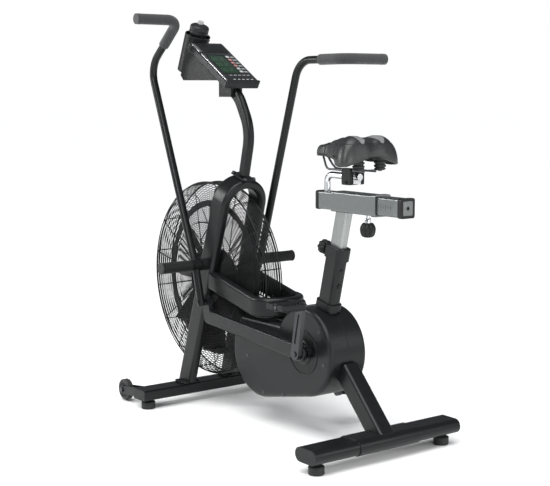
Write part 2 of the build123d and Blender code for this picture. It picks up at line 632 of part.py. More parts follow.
def housing_outline(grow=0.0):
    """Side outline: a round rear about the crank and a round front lobe."""
    rear = Pos(BB_X, BB_Z) * Circle(HOUSING_R + grow)
    body = bar_sketch((BB_X, BB_Z), (JACK_X, JACK_Z), HOUSING_R + grow, LOBE_R + grow)
    top = HOUSING_TOP + grow
    body -= Pos(BB_X + 400, top + 150) * Rectangle(650, 300)
    return body + rear


def seat_plane(z):
    """A plane across the seat tube's axis at a height: local X along the bike."""
    lean = math.radians(SEAT_LEAN)
    x = SEAT_X - math.tan(lean) * (z - SEAT_Z)
    return Plane(origin=(x, 0, z), x_dir=(math.cos(lean), 0, math.sin(lean)),
                 z_dir=(-math.sin(lean), 0, math.cos(lean)))


def seat_bar(z0, z1, depth, width, corner, wall=0.0):
    """A rounded bar along the seat tube's axis between two heights."""
    face = RectangleRounded(depth, width, corner)
    if wall:
        face -= RectangleRounded(depth - 2 * wall, width - 2 * wall, max(corner - wall, 1.0))
    length = (z1 - z0) / math.cos(math.radians(SEAT_LEAN))
    return extrude(seat_plane(z0) * face, length)


def stay_bar(grow=0.0, wall=0.0):
    """The sloping rear stay, from inside the covers to the rear base."""
    top, low = Vector(-380, 0, 255), Vector(-543, 0, 82)
    run = low - top
    face = RectangleRounded(64 + 2 * grow, 60 + 2 * grow, 10)
    if wall:
        face -= RectangleRounded(64 - 2 * wall, 60 - 2 * wall, 10 - wall)
    plane = Plane(origin=top, x_dir=run.cross(Vector(0, 1, 0)).normalized(), z_dir=run.normalized())
    return extrude(plane * face, run.length + 40)


def rear_stay():
    """Stay tube, trimmed where it lands on the rear base's sleeve."""
    z = REAR_BASE_BOTTOM + REAR_BASE_H / 2
    sleeve = side_plate(Pos(REAR_BASE_X, z) * RectangleRounded(
        REAR_BASE_W + 2 * WALL, REAR_BASE_H + 2 * WALL, REAR_BASE_H / 2 + 2.5), -80, 80)
    below = box(-800, 0, -100, 100, -100, z)
    add("rear_stay", largest(stay_bar(wall=WALL) - sleeve - below))


def covers():
    """Left and right shells round the drive, with round ports; returns the screws."""
    ports = []
    cut = stay_bar(grow=1.0) + seat_bar(380, 520, SEAT_TUBE_D + 2, SEAT_TUBE_W + 2, 17)
    post_x = HOOP_BOW_X - HOOP_Y
    cut += box(post_x - 19, post_x + 19, -17, 17, 330, 380)
    outer = housing_outline()
    inner = housing_outline(-HOUSING_WALL)
    cage_gap = cyl_y(FAN_X, FAN_Z, CAGE_R + 3, -CAGE_HALF - 2, CAGE_HALF + 2)
    for name, side in SIDES:
        shell = side_plate(outer, 0.0 + side * 0.15, side * HOUSING_HALF)
        rim = shell.faces().sort_by(Axis.Y)[-1 if side > 0 else 0].edges()
        shell = fillet(rim, 14)
        cavity = side_plate(inner, 0, side * (HOUSING_HALF - HOUSING_WALL))
        far = cavity.faces().sort_by(Axis.Y)[-1 if side > 0 else 0].edges()
        cavity = fillet(far, 12)
        shell = shell - cavity - cut - cage_gap
        shell -= cyl_y(BB_X, BB_Z, PORT_R, side * (HOUSING_HALF - 8), side * (HOUSING_HALF + 8))
        shell = max(shell.solids(), key=lambda solid: solid.volume)
        add("cover_" + name, shell)
        ring_y = side * (HOUSING_HALF - HOUSING_WALL)
        port = cyl_y(BB_X, BB_Z, PORT_R - 1.0, ring_y, side * (HOUSING_HALF + 0.8), 27)
        ports.append(port)
    screws = []
    places = ((-333, 375), (-354, 271), (-141, 132), (-30, 120), (60, 232))
    for x, z in places:
        for _, side in SIDES:
            head = cyl_y(x, z, 5, side * (HOUSING_HALF - 3), side * (HOUSING_HALF + 1.5))
            head -= cyl_y(x, z, 2.2, side * HOUSING_HALF, side * (HOUSING_HALF + 3))
            screws.append(head)
    for name, side in SIDES:
        for x, z in places:
            PARTS["cover_" + name] -= cyl_y(x, z, 5, side * (HOUSING_HALF - 3), side * 90)
    add("port_covers", group(ports))
    return screws


# ---- Seat -------------------------------------------------------------------

def seat_tube():
    """Seat tube standing on the shell; returns its plastic collars and pin guide."""
    tube = seat_bar(318, 640, SEAT_TUBE_D, SEAT_TUBE_W, 16, 4)
    tube -= cyl_y(BB_X, BB_Z, SHELL_R, -60, 60)
    pin = seat_plane(622)
    tube -= Plane(origin=pin.origin + pin.x_dir * 40, z_dir=pin.x_dir).location * Cylinder(6.5, 60)
    low = seat_bar(440, 462, SEAT_TUBE_D + 12, SEAT_TUBE_W + 12, 20) - seat_bar(
        430, 470, SEAT_TUBE_D, SEAT_TUBE_W, 16)
    high = seat_bar(606, 646, SEAT_TUBE_D + 10, SEAT_TUBE_W + 10, 19) - seat_bar(
        600, 640, SEAT_TUBE_D, SEAT_TUBE_W, 16)
    high -= seat_bar(600, 660, POST_D + 2 * GAP, POST_W + 2 * GAP, 8)
    high -= Plane(origin=pin.origin + pin.x_dir * 40, z_dir=pin.x_dir).location * Cylinder(6.5, 60)
    guide_at = pin.origin + pin.x_dir * (SEAT_TUBE_D / 2 + 5)
    guide = cyl_axis(guide_at, pin.x_dir, 13, 9, 6.0 + FIT)
    add("seat_tube", tube)
    return [low, high, guide]


def seat_pin():
    """Pull pin with a grooved knob on the front of the seat tube."""
    plane = seat_plane(622)
    start = plane.origin + plane.x_dir * (POST_D / 2 + 1.0)
    pin = cyl_axis(start, plane.x_dir, 6.0, 24)
    knob_at = start + plane.x_dir * 24
    knob = cyl_axis(knob_at, plane.x_dir, 25, 34)
    for turn in range(10):
        angle = math.radians(36 * turn)
        offset = plane.y_dir * (28 * math.cos(angle)) + plane.z_dir * (28 * math.sin(angle))
        knob -= cyl_axis(knob_at + offset, plane.x_dir, 6, 34)
    add("height_pin", pin + knob)


def seat_post():
    """Seat post with the slider sleeve welded on top and a plastic collar."""
    z1 = SLEEVE_Z0
    post = seat_bar(470, z1 + 4, POST_D, POST_W, 8, 3)
    mid_z = SLEEVE_Z0 + SLEEVE_H / 2
    sleeve = tube_x(SLEEVE_X0, SLEEVE_X1, mid_z, SLEEVE_W, SLEEVE_H,
                    SLIDER_W + 1, SLIDER_H + 1)
    knob_x = SLEEVE_X0 + 51
    sleeve -= Pos(knob_x, 0, SLEEVE_Z0) * Cylinder(6.0, 20)
    block = tube_x(SLEEVE_X0, SLEEVE_X1, mid_z, SLEEVE_W, SLEEVE_H)
    post -= block
    collar = tube_x(SLEEVE_X0 - 20, SLEEVE_X0, mid_z, SLEEVE_W + 4, SLEEVE_H + 4,
                    SLIDER_W + 1, SLIDER_H + 1)
    add("seat_post", largest(post))
    add("slider_sleeve", group([sleeve, collar]))
    stem = Pos(knob_x, 0, SLEEVE_Z0 - 12) * Cylinder(6.0 - FIT, 30)
    knob = Pos(knob_x, 0, SLEEVE_Z0 - 27 - 22) * Cylinder(25, 44)
    knob = fillet(knob.edges(), 4)
    for turn in range(10):
        knob -= Pos(knob_x, 0, 0) * Rot(0, 0, 36 * turn) * Pos(28, 0, SLEEVE_Z0 - 49) * Cylinder(6, 50)
    add("slider_knob", stem + knob)


def tube_x(x0, x1, z, width, height, inner_w=0.0, inner_h=0.0):
    """A rounded bar, or a tube, along X about height z."""
    plane = Plane(origin=(x0, 0, z), x_dir=(0, 1, 0), z_dir=(1, 0, 0))
    face = RectangleRounded(width, height, 6)
    if inner_w:
        face -= RectangleRounded(inner_w, inner_h, 3.5)
    return extrude(plane * face, x1 - x0)


def slider():
    """Saddle slider with end caps and the bent pin that carries the saddle."""
    mid_z = SLEEVE_Z0 + SLEEVE_H / 2
    tube = tube_x(SLIDER_X0, SLIDER_X1, mid_z, SLIDER_W, SLIDER_H, SLIDER_W - 6, SLIDER_H - 6)
    caps = []
    for x0, x1, seat in ((SLIDER_X0 - 38, SLIDER_X0, SLIDER_X0), (SLIDER_X1, SLIDER_X1 + 12, SLIDER_X1)):
        cap = tube_x(x0, x1, mid_z, SLIDER_W + 6, SLIDER_H + 6)
        inward = 12 if seat == SLIDER_X0 else -12
        plug = tube_x(min(seat, seat + inward), max(seat, seat + inward), mid_z,
                      SLIDER_W - 6, SLIDER_H - 6)
        caps.append(cap + plug)
    top = mid_z + SLIDER_H / 2
    points = [(SADDLE_PIN_X, 0, top), (SADDLE_PIN_X, 0, SADDLE_PIN_Z),
              (SADDLE_PIN_END, 0, SADDLE_PIN_Z)]
    pin = swept(points, [24], Circle(SADDLE_PIN_R))
    add("slider_tube", tube)
    add("slider_caps", group(caps))
    add("saddle_pin", pin)


def saddle_outline(inset=0.0):
    """Outline of the saddle from above, as a smooth closed curve."""
    nose, rear = NOSE_X - inset, SADDLE_REAR_X + inset
    wide, narrow = SADDLE_HALF_W - inset, NOSE_HALF_W - inset
    right = [(nose, 0), (nose - 10, -narrow * 0.75), (NOSE_X - 120, -narrow - 14),
             (rear + 70, -wide + 6), (rear + 24, -wide + 4), (rear, -wide * 0.45),
             (rear + 6, 0)]
    left = [(x, -y) for x, y in reversed(right[1:-1])]
    return make_face(Spline(*right, *left, periodic=True))


def saddle():
    """Saddle: soft cushion, rigid base, rails, rear springs and clamp."""
    skirt = SADDLE_BOTTOM - 9
    cushion = extrude(Plane.XY.offset(skirt) * saddle_outline(), SADDLE_TOP - skirt)
    cushion -= extrude(Plane.XY.offset(skirt) * saddle_outline(5.8), SADDLE_BOTTOM + 6 - skirt)
    base = extrude(Plane.XY.offset(SADDLE_BOTTOM) * saddle_outline(6.0), 6)
    add("saddle_cushion", cushion)
    add("saddle_base", base)
    rails = []
    springs = []
    rail_z = 893.0
    for _, side in SIDES:
        nose = (NOSE_X - 34, side * 9, SADDLE_BOTTOM + 3)
        points = [nose, (NOSE_X - 62, side * 17, rail_z), (SPRING_X - 6, side * 24, rail_z)]
        rails.append(swept(points, [24], Circle(3.5)))
        spring = Pos(SPRING_X, side * SPRING_Y, (rail_z + 5 + SADDLE_BOTTOM) / 2) * Cylinder(
            SPRING_R, SADDLE_BOTTOM - rail_z - 5)
        springs.append(spring)
    bridge = box(SPRING_X - 14, SPRING_X + 14, -SPRING_Y - 12, SPRING_Y + 12, rail_z + 3.5,
                 rail_z + 5)
    rails = [rail - base for rail in rails]
    add("saddle_rails", group(rails + [bridge] + springs))
    low = SADDLE_PIN_Z - 25
    bolt_z = SADDLE_PIN_Z - 17
    block = box(CLAMP_X - 21, CLAMP_X + 21, -15, 15, low, SADDLE_PIN_Z + 14)
    block = fillet(block.edges().filter_by(Axis.Y), 5)
    block -= cyl_axis((CLAMP_X - 40, 0, SADDLE_PIN_Z), (1, 0, 0), SADDLE_PIN_R, 80)
    block -= cyl_y(CLAMP_X, bolt_z, 4 + FIT, -20, 20)
    PARTS["saddle_pin"] = group([PARTS["saddle_pin"], block])
    bolt = cyl_y(CLAMP_X, bolt_z, 4, -34, 34)
    pieces = [bolt]
    for _, side in SIDES:
        cheek = box(CLAMP_X - 21, CLAMP_X + 21, side * 15.5, side * 29, low, rail_z + 8)
        cheek = fillet(cheek.edges().filter_by(Axis.Y), 6) - bolt
        for rail in rails:
            cheek -= rail
        pieces.append(cheek)
    add("saddle_clamp", group(pieces))


# ---- Console ----------------------------------------------------------------

def mast_points():
    """The mast's centre line, from the arch up to the console."""
    return [(MAST_FOOT_X, 0, MAST_FOOT_Z + 5), (143, 0, 1000), (210, 0, 1118), (262, 0, 1150)]


def mast(arch_top_v):
    """Bent console mast with its foot plate on the arch; returns the bolts."""
    face = RectangleRounded(MAST_W, MAST_D, 12) - RectangleRounded(MAST_W - 5, MAST_D - 5, 9.5)
    tube = swept(mast_points(), [150, 120], face)
    plane = leg_plane()
    lean = math.radians(LEG_LEAN)
    top = plane.from_local_coords(Vector(0, arch_top_v, 0))
    pad = Plane(origin=top, x_dir=(0, 1, 0), z_dir=(-math.sin(lean), 0, math.cos(lean)))
    plate = extrude(pad * RectangleRounded(52, 88, 6), 4)
    bolts = []
    for x, y in ((-18, -36), (18, -36), (-18, 36), (18, 36)):
        bolt = extrude(pad * Pos(x, y, 4) * RegularPolygon(7, 6), 6)
        bolts.append(bolt)
    solid_mast = swept(mast_points(), [150, 120], RectangleRounded(MAST_W, MAST_D, 12))
    add("console_mast", group([tube, plate - solid_mast]))
    return bolts


def console_plane():
    """The sloping face of the console: local X up the slope, local Y across."""
    slope = math.radians(CONSOLE_SLOPE)
    return Plane(origin=(CONSOLE_LOW[0], 0, CONSOLE_LOW[1]),
                 x_dir=(math.cos(slope), 0, math.sin(slope)),
                 z_dir=(-math.sin(slope), 0, math.cos(slope)))


def console():
    """Console bracket, case, display and keys."""
    plane = console_plane()
    slope = math.radians(CONSOLE_SLOPE)
    mid = CONSOLE_L / 2
    case = plane.location * (Pos(mid, 0, -CASE_T / 2) * Box(CONSOLE_L, 2 * CONSOLE_HALF_W, CASE_T))
    case = fillet(case.edges(), 5)
    screen_l, screen_w = 118.0, 84.0
    screen_at = Pos(150, 14, 0)
    pocket = plane.location * (screen_at * Box(screen_l, screen_w, 8))
    case -= pocket
    screen = plane.location * (screen_at * Pos(0, 0, -2.2) * Box(screen_l, screen_w, 3.6))
    add("display", screen)
    places = ((34.0, -50.0), (34.0, 44.0))
    for index, (u, v) in enumerate(places):
        well = plane.location * (Pos(u, v, 0) * Box(16 + 2 * GAP, 14 + 2 * GAP, 9))
        case -= well
        key = plane.location * (Pos(u, v, -1.0) * Box(16, 14, 4.0))
        add("key_%d" % (index + 1), key)
    add("console_case", case)
    back = plane.from_local_coords(Vector(CONSOLE_L - 6, 0, -CASE_T))
    front = plane.from_local_coords(Vector(74, 0, -CASE_T))
    sides = []
    outline = Polygon((252, 1177), (462, 1177), (481, 1196), (back.X, back.Z),
                      (front.X, front.Z), align=None)
    for _, side in SIDES:
        y = side * (CONSOLE_HALF_W - 3)
        sides.append(side_plate(outline, y, y - side * 3))
    floor = box(252, 462, -CONSOLE_HALF_W + 6, CONSOLE_HALF_W - 6, 1177, 1180)
    saddle_block = side_plate(Polygon((225, 1118), (300, 1118), (300, 1177), (252, 1177),
                                      (225, 1164), align=None), -24, 24)
    solid_mast = swept(mast_points(), [150, 120], RectangleRounded(MAST_W, MAST_D, 12))
    pieces = [largest(shape - solid_mast - holder_bar(HOLDER_R))
              for shape in (*sides, floor, saddle_block)]
    add("console_bracket", group(pieces))


def holder_axis():
    """Unit vector along the bottle, pointing up and back."""
    tilt = math.radians(HOLDER_TILT)
    return Vector(-math.sin(tilt), 0, math.cos(tilt))


def holder_bar(r):
    """A plain cylinder in the bottle holder's place."""
    up = holder_axis()
    top = Vector(HOLDER_TOP[0], 0, HOLDER_TOP[1])
    return cyl_axis(top - up * HOLDER_L, up, r, HOLDER_L)


def bottle():
    """Bottle holder with a bottle, its screw cap and a pull-up nozzle."""
    up = holder_axis()
    low = Vector(HOLDER_TOP[0], 0, HOLDER_TOP[1]) - up * HOLDER_L
    holder = holder_bar(HOLDER_R) - cyl_axis(low + up * 4, up, HOLDER_R - 3, HOLDER_L)
    add("bottle_holder", holder)
    base = low + up * 4.4
    body = cyl_axis(base, up, BOTTLE_R, 132)
    body = fillet(body.edges(), 6)
    body += cyl_axis(base + up * 130, up, 25, 22)
    body -= cyl_axis(base + up * 3, up, BOTTLE_R - 2.5, 124)
    body -= cyl_axis(base + up * 120, up, 21, 40)
    cap_at = base + up * 143
    cap = cyl_axis(cap_at, up, CAP_R, 36)
    cap = chamfer(cap.edges().sort_by(Axis(tuple(cap_at), tuple(up)))[-1], 6)
    cap -= cyl_axis(cap_at, up, 25, 9)
    cap -= cyl_axis(cap_at, up, 9 + FIT, 60)
    nozzle = cyl_axis(cap_at + up * 20, up, 9, 27)
    nozzle += cyl_axis(cap_at + up * 36.4, up, 12, 8)
    add("bottle_body", body)
    add("bottle_cap", cap)
    add("bottle_nozzle", nozzle)


# ---- Build ------------------------------------------------------------------

def main():
    """Make every piece and write one file for each."""
    base_tubes()
    trim = base_caps()
    fasteners = feet() + wheels()
    _, arch_top_v = legs_and_arch()
    hoop()
    fasteners += fan_axle()
    cage()
    pivots_and_pegs()
    fan()
    drive()
    inner_frame()
    crank()
    pedals()
    handles()
    links()
    rear_stay()
    trim += seat_tube()
    fasteners += covers()
    seat_pin()
    seat_post()
    slider()
    saddle()
    fasteners += mast(arch_top_v)
    console()
    bottle()
    add("end_caps_and_collars", group(trim))
    add("fasteners", group(fasteners))
    os.makedirs("parts", exist_ok=True)
    for name, shape in PARTS.items():
        solids = [Pos(-BOX_CENTRE_X, 0, 0) * solid for solid in shape.solids()]
        export_step(group(solids), "parts/%s.step" % name)


main()
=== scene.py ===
import bpy
import math
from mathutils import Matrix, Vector, noise
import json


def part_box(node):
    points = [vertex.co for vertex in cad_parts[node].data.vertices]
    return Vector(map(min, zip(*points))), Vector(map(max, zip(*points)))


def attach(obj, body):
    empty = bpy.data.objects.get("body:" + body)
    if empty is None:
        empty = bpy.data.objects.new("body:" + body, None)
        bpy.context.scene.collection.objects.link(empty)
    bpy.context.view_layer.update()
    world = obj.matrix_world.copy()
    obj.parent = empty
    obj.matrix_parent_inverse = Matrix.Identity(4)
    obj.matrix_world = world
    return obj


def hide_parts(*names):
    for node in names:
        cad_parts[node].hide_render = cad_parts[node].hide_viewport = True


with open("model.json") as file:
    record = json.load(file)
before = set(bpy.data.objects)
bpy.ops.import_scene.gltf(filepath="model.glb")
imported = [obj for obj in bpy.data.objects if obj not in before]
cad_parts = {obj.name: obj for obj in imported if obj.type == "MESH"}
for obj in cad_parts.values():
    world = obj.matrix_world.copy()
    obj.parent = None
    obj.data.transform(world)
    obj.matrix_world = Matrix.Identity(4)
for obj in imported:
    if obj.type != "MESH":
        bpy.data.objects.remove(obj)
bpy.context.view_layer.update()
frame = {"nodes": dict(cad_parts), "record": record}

# ---- Places shared with the CAD, in metres ----------------------------------
# Places are measured from midway between the bases, as the CAD is drawn. SHIFT moves them to the
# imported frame. DRAWN_REAR is where the rear base's back face stands in the drawn places.

DRAWN_REAR = -0.597
SHIFT = Vector((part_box("rear_base")[0].x - DRAWN_REAR, 0.0, 0.0))

X, Y, Z = Vector((1, 0, 0)), Vector((0, 1, 0)), Vector((0, 0, 1))
SIDES = (("left", 1), ("right", -1))
FAN = (0.364, 0.0, 0.461)
CAGE_R, CAGE_HALF, CAGE_EDGE = 0.3495, 0.050, 0.022     # radius, half width, rounding of the rim
CRANK = Vector((-0.247, 0.0, 0.295))
PEDALS = (("left", 1, Vector((-0.319, 0.197, 0.471))), ("right", -1, Vector((-0.175, -0.197, 0.119))))
COVER_FACE = 0.0758                                     # outer face of the drive covers, from the middle
SCREW_PLACES = ((-0.333, 0.375), (-0.354, 0.271), (-0.141, 0.132), (-0.030, 0.120), (0.060, 0.232))
FOOT_PLACES = ((0.417, 0.263), (0.417, -0.263), (-0.547, 0.260), (-0.547, -0.260))
WHEEL_X, WHEEL_Y, WHEEL_Z = 0.559, 0.271, 0.043
LEG_X, LEG_Y, BASE_TOP = 0.417, 0.094, 0.0775           # foot of each leg on the front base
PEG_X, PEG_Z = 0.281, 0.527
SLOPE = math.radians(31.0)                              # of the console's face
CASE_LOW = Vector((0.181, 0.0, 1.168))
CASE_UP = Vector((math.cos(SLOPE), 0.0, math.sin(SLOPE)))
CASE_OUT = Vector((-math.sin(SLOPE), 0.0, math.cos(SLOPE)))
TILT = math.radians(22.8)                               # of the bottle
BOTTLE_UP = Vector((-math.sin(TILT), 0.0, math.cos(TILT)))
HOLDER_TOP = Vector((0.470, 0.0, 1.342))
BOTTLE_LOW = HOLDER_TOP - BOTTLE_UP * (0.142 - 0.0044)
SEAT_LEAN = math.radians(14.0)
SEAT_AXIS = Vector((-0.328, 0, 0.609))                  # a point on the seat tube's axis
SEAT_BACK = 0.0355                                      # from that axis to the tube's rear face
SLIDER_Z = 0.792
POST_UP = Vector((-math.sin(SEAT_LEAN), 0.0, math.cos(SEAT_LEAN)))
POST_OUT = Vector((math.cos(SEAT_LEAN), 0.0, math.sin(SEAT_LEAN)))


# ---- Geometry helpers -------------------------------------------------------

def square_frame(axis):
    """Two unit vectors across an axis."""
    axis = Vector(axis).normalized()
    side = axis.cross(Z if abs(axis.z) < 0.9 else X).normalized()
    return side, axis.cross(side).normalized()


def tube_geo(points, r, sides=10, closed=False):
    """A round tube along points; r may be a number or one per point."""
    points = [Vector(p) for p in points]
    count = len(points)
    radii = [r] * count if isinstance(r, (int, float)) else r
    verts, faces = [], []
    side = None
    for i, p in enumerate(points):
        if closed:
            t = (points[(i + 1) % count] - points[i - 1]).normalized()
        else:
            t = (points[min(i + 1, count - 1)] - points[max(i - 1, 0)]).normalized()
        if side is None:
            side, up = square_frame(t)
        side = (side - t * side.dot(t)).normalized()
        up = t.cross(side)
        for k in range(sides):
            a = 2 * math.pi * k / sides
            verts.append(p + side * (math.cos(a) * radii[i]) + up * (math.sin(a) * radii[i]))
    loops = count if closed else count - 1
    for i in range(loops):
        j = (i + 1) % count
        for k in range(sides):
            m = (k + 1) % sides
            faces.append((i * sides + k, i * sides + m, j * sides + m, j * sides + k))
    if not closed:
        faces.append(tuple(reversed(range(sides))))
        faces.append(tuple((count - 1) * sides + k for k in range(sides)))
    return verts, faces


def ring_geo(centre, axis, radius, r, steps=96, sides=6):
    """A round wire bent into a ring."""
    a, b = square_frame(axis)
    centre = Vector(centre)
    points = []
    for i in range(steps):
        t = 2 * math.pi * i / steps
        points.append(centre + a * (radius * math.cos(t)) + b * (radius * math.sin(t)))
    return tube_geo(points, r, sides, closed=True)


def lathe_geo(origin, axis, profile, steps=48, flutes=0, depth=0.0, span=(0, 0)):
    """A turned form: profile lists (radius, height); flutes cut into the heights in span."""
    a, b = square_frame(axis)
    axis = Vector(axis).normalized()
    origin = Vector(origin)
    verts, faces = [], []
    for r, h in profile:
        for k in range(steps):
            t = 2 * math.pi * k / steps
            cut = 0.0
            if flutes and span[0] <= h <= span[1]:
                cut = depth * (0.5 - 0.5 * math.cos(flutes * t)) ** 2
            rr = max(r - cut, 0.0)
            verts.append(origin + axis * h + a * (rr * math.cos(t)) + b * (rr * math.sin(t)))
    rows = len(profile)
    for i in range(rows - 1):
        for k in range(steps):
            m = (k + 1) % steps
            faces.append((i * steps + k, i * steps + m, (i + 1) * steps + m, (i + 1) * steps + k))
    faces.append(tuple(reversed(range(steps))))
    faces.append(tuple((rows - 1) * steps + k for k in range(steps)))
    return verts, faces


def slab_geo(origin, ux, uy, un, x0, x1, y0, y1, n0, n1, radius=0.0, bevel=0.0):
    """A plate with rounded corners in the plane (ux, uy), its top edge bevelled."""
    outline = []
    corner_steps = 6
    radius = max(radius, 1e-5)
    corners = ((x1 - radius, y1 - radius, 0), (x0 + radius, y1 - radius, 90),
               (x0 + radius, y0 + radius, 180), (x1 - radius, y0 + radius, 270))
    for cx, cy, start in corners:
        for i in range(corner_steps):
            t = math.radians(start + 90 * i / (corner_steps - 1))
            outline.append((cx, cy, math.cos(t), math.sin(t)))
    verts, faces = [], []
    rows = [(n0, radius), (n1 - bevel, radius), (n1 - bevel * 0.3, radius - bevel * 0.3),
            (n1, radius - bevel)]
    for n, r in rows:
        for cx, cy, c, s in outline:
            verts.append(Vector(origin) + ux * (cx + c * r) + uy * (cy + s * r) + un * n)
    size = len(outline)
    for i in range(len(rows) - 1):
        for k in range(size):
            m = (k + 1) % size
            faces.append((i * size + k, i * size + m, (i + 1) * size + m, (i + 1) * size + k))
    faces.append(tuple(reversed(range(size))))
    faces.append(tuple((len(rows) - 1) * size + k for k in range(size)))
    return verts, faces


def merge(geos):
    """Several pieces of geometry as one."""
    verts, faces = [], []
    for v, f in geos:
        base = len(verts)
        verts.extend(v)
        faces.extend(tuple(i + base for i in face) for face in f)
    return verts, faces


def piece(name, geo, body, material, angle=40.0):
    """A mesh piece of the object: smooth below the angle, riding a CAD body."""
    mesh = bpy.data.meshes.new(name)
    mesh.from_pydata([tuple(v + SHIFT) for v in geo[0]], [], geo[1])
    mesh.update()
    mesh.validate()
    obj = bpy.data.objects.new(name, mesh)
    bpy.context.scene.collection.objects.link(obj)
    mesh.materials.append(material)
    mesh.shade_smooth()
    mesh.set_sharp_from_angle(angle=math.radians(angle))
    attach(obj, body)
    return obj


# ---- Materials --------------------------------------------------------------

class Nodes:
    """Small helper that adds and links shader nodes."""

    def __init__(self, name):
        self.mat = bpy.data.materials.new(name)
        self.mat.use_nodes = True
        self.tree = self.mat.node_tree
        self.bsdf = self.tree.nodes["Principled BSDF"]
        self.coord = self.tree.nodes.new("ShaderNodeTexCoord").outputs["Object"]

    def add(self, kind, **settings):
        node = self.tree.nodes.new(kind)
        for key, value in settings.items():
            setattr(node, key, value)
        return node

    def link(self, a, b):
        self.tree.links.new(a, b)

    def scaled(self, scale):
        node = self.add("ShaderNodeMapping")
        node.inputs["Scale"].default_value = scale
        self.link(self.coord, node.inputs["Vector"])
        return node.outputs["Vector"]

    def noise(self, scale, detail=3.0, rough=0.55, vector=None):
        node = self.add("ShaderNodeTexNoise")
        node.inputs["Scale"].default_value = scale
        node.inputs["Detail"].default_value = detail
        node.inputs["Roughness"].default_value = rough
        self.link(vector or self.coord, node.inputs["Vector"])
        return node.outputs["Fac"]

    def cells(self, scale, feature="F1"):
        node = self.add("ShaderNodeTexVoronoi", feature=feature)
        node.inputs["Scale"].default_value = scale
        self.link(self.coord, node.inputs["Vector"])
        return node.outputs["Distance"]

    def span(self, value, low, high, a=0.0, b=1.0):
        node = self.add("ShaderNodeMapRange")
        for key, number in (("From Min", low), ("From Max", high), ("To Min", a), ("To Max", b)):
            node.inputs[key].default_value = number
        self.link(value, node.inputs["Value"])
        return node.outputs["Result"]

    def math(self, operation, a, b):
        node = self.add("ShaderNodeMath", operation=operation)
        for index, value in enumerate((a, b)):
            if isinstance(value, (int, float)):
                node.inputs[index].default_value = value
            else:
                self.link(value, node.inputs[index])
        return node.outputs["Value"]

    def mix(self, fac, a, b):
        node = self.add("ShaderNodeMix", data_type="RGBA")
        if isinstance(fac, (int, float)):
            node.inputs[0].default_value = fac
        else:
            self.link(fac, node.inputs[0])
        for index, value in ((6, a), (7, b)):
            if isinstance(value, tuple):
                node.inputs[index].default_value = (*value, 1.0)
            else:
                self.link(value, node.inputs[index])
        return node.outputs[2]

    def bump(self, height, distance, strength=1.0, normal=None):
        node = self.add("ShaderNodeBump")
        node.inputs["Strength"].default_value = strength
        node.inputs["Distance"].default_value = distance
        self.link(height, node.inputs["Height"])
        if normal is not None:
            self.link(normal, node.inputs["Normal"])
        return node.outputs["Normal"]

    def edges(self, radius):
        """Rounded edges: the softened normal, and a mask that is high on edges."""
        node = self.add("ShaderNodeBevel", samples=4)
        node.inputs["Radius"].default_value = radius
        geo = self.add("ShaderNodeNewGeometry")
        dot = self.add("ShaderNodeVectorMath", operation="DOT_PRODUCT")
        self.link(node.outputs["Normal"], dot.inputs[0])
        self.link(geo.outputs["Normal"], dot.inputs[1])
        return node.outputs["Normal"], self.span(dot.outputs["Value"], 0.995, 0.86)

    def done(self, color, rough, normal, metal=0.0, **sockets):
        if isinstance(color, tuple):
            self.bsdf.inputs["Base Color"].default_value = (*color, 1.0)
        else:
            self.link(color, self.bsdf.inputs["Base Color"])
        self.link(rough, self.bsdf.inputs["Roughness"])
        self.link(normal, self.bsdf.inputs["Normal"])
        self.bsdf.inputs["Metallic"].default_value = metal
        for key, value in sockets.items():
            self.bsdf.inputs[key.replace("_", " ")].default_value = value
        return self.mat


def shade(color, k):
    """A colour made darker or lighter, and never past white."""
    return tuple(min(c * k, 1.0) for c in color)


def coated(name, color, rough=0.40, grain=1400.0, depth=0.00012, edge=0.0012, edge_highlight_and_wear=0.5, **sockets):
    """Painted or moulded skin: fine texture, cloudy tone, edges painted brighter as a highlight, in patches
    like rubbed wear.
    """
    n = Nodes(name)
    sockets.setdefault("Specular_IOR_Level", 0.24)
    soft, mask = n.edges(edge)
    cloud = n.noise(5.0, 4.0)
    fine = n.noise(grain, 2.0, 0.5)
    speck = n.noise(240.0, 4.0, 0.7)
    scuff = n.noise(38.0, 6.0, 0.72)
    tone = n.mix(n.span(cloud, 0.3, 0.7), shade(color, 0.88), shade(color, 1.14))
    tone = n.mix(n.span(speck, 0.60, 0.78, 0.0, 0.35), tone, shade(color, 1.7))
    # painted edge highlight, broken into patches like rubbed wear
    edge_highlight_and_rub = n.math("MULTIPLY", mask, n.span(scuff, 0.35, 0.65, 0.25, 1.0))
    tone = n.mix(n.math("MULTIPLY", edge_highlight_and_rub, edge_highlight_and_wear), tone, shade(color, 3.2))
    level = n.span(scuff, 0.25, 0.75, rough - 0.07, rough + 0.09)
    normal = n.bump(fine, depth, 0.6, soft)
    normal = n.bump(speck, depth * 2.0, 0.35, normal)
    return n.done(tone, level, normal, **sockets)


def brushed(name, color, along, rough=0.27, edge=0.0010):
    """Brushed metal: long fine streaks along one axis with faint handling marks."""
    n = Nodes(name)
    soft, mask = n.edges(edge)
    scale = tuple(6.0 if i == along else 900.0 for i in range(3))
    streak = n.noise(1.0, 3.0, 0.6, n.scaled(scale))
    smear = n.noise(22.0, 5.0, 0.65)
    tone = n.mix(n.span(streak, 0.3, 0.7), shade(color, 0.86), shade(color, 1.10))
    tone = n.mix(n.span(smear, 0.5, 0.8, 0.0, 0.30), tone, shade(color, 0.70))
    # painted highlight: edges made brighter along the bevel mask
    tone = n.mix(n.math("MULTIPLY", mask, 0.4), tone, shade(color, 1.35))
    level = n.math("ADD", n.span(streak, 0.2, 0.8, rough - 0.07, rough + 0.10),
                   n.span(smear, 0.4, 0.8, 0.0, 0.08))
    normal = n.bump(streak, 0.00005, 0.5, soft)
    return n.done(tone, level, normal, metal=1.0)


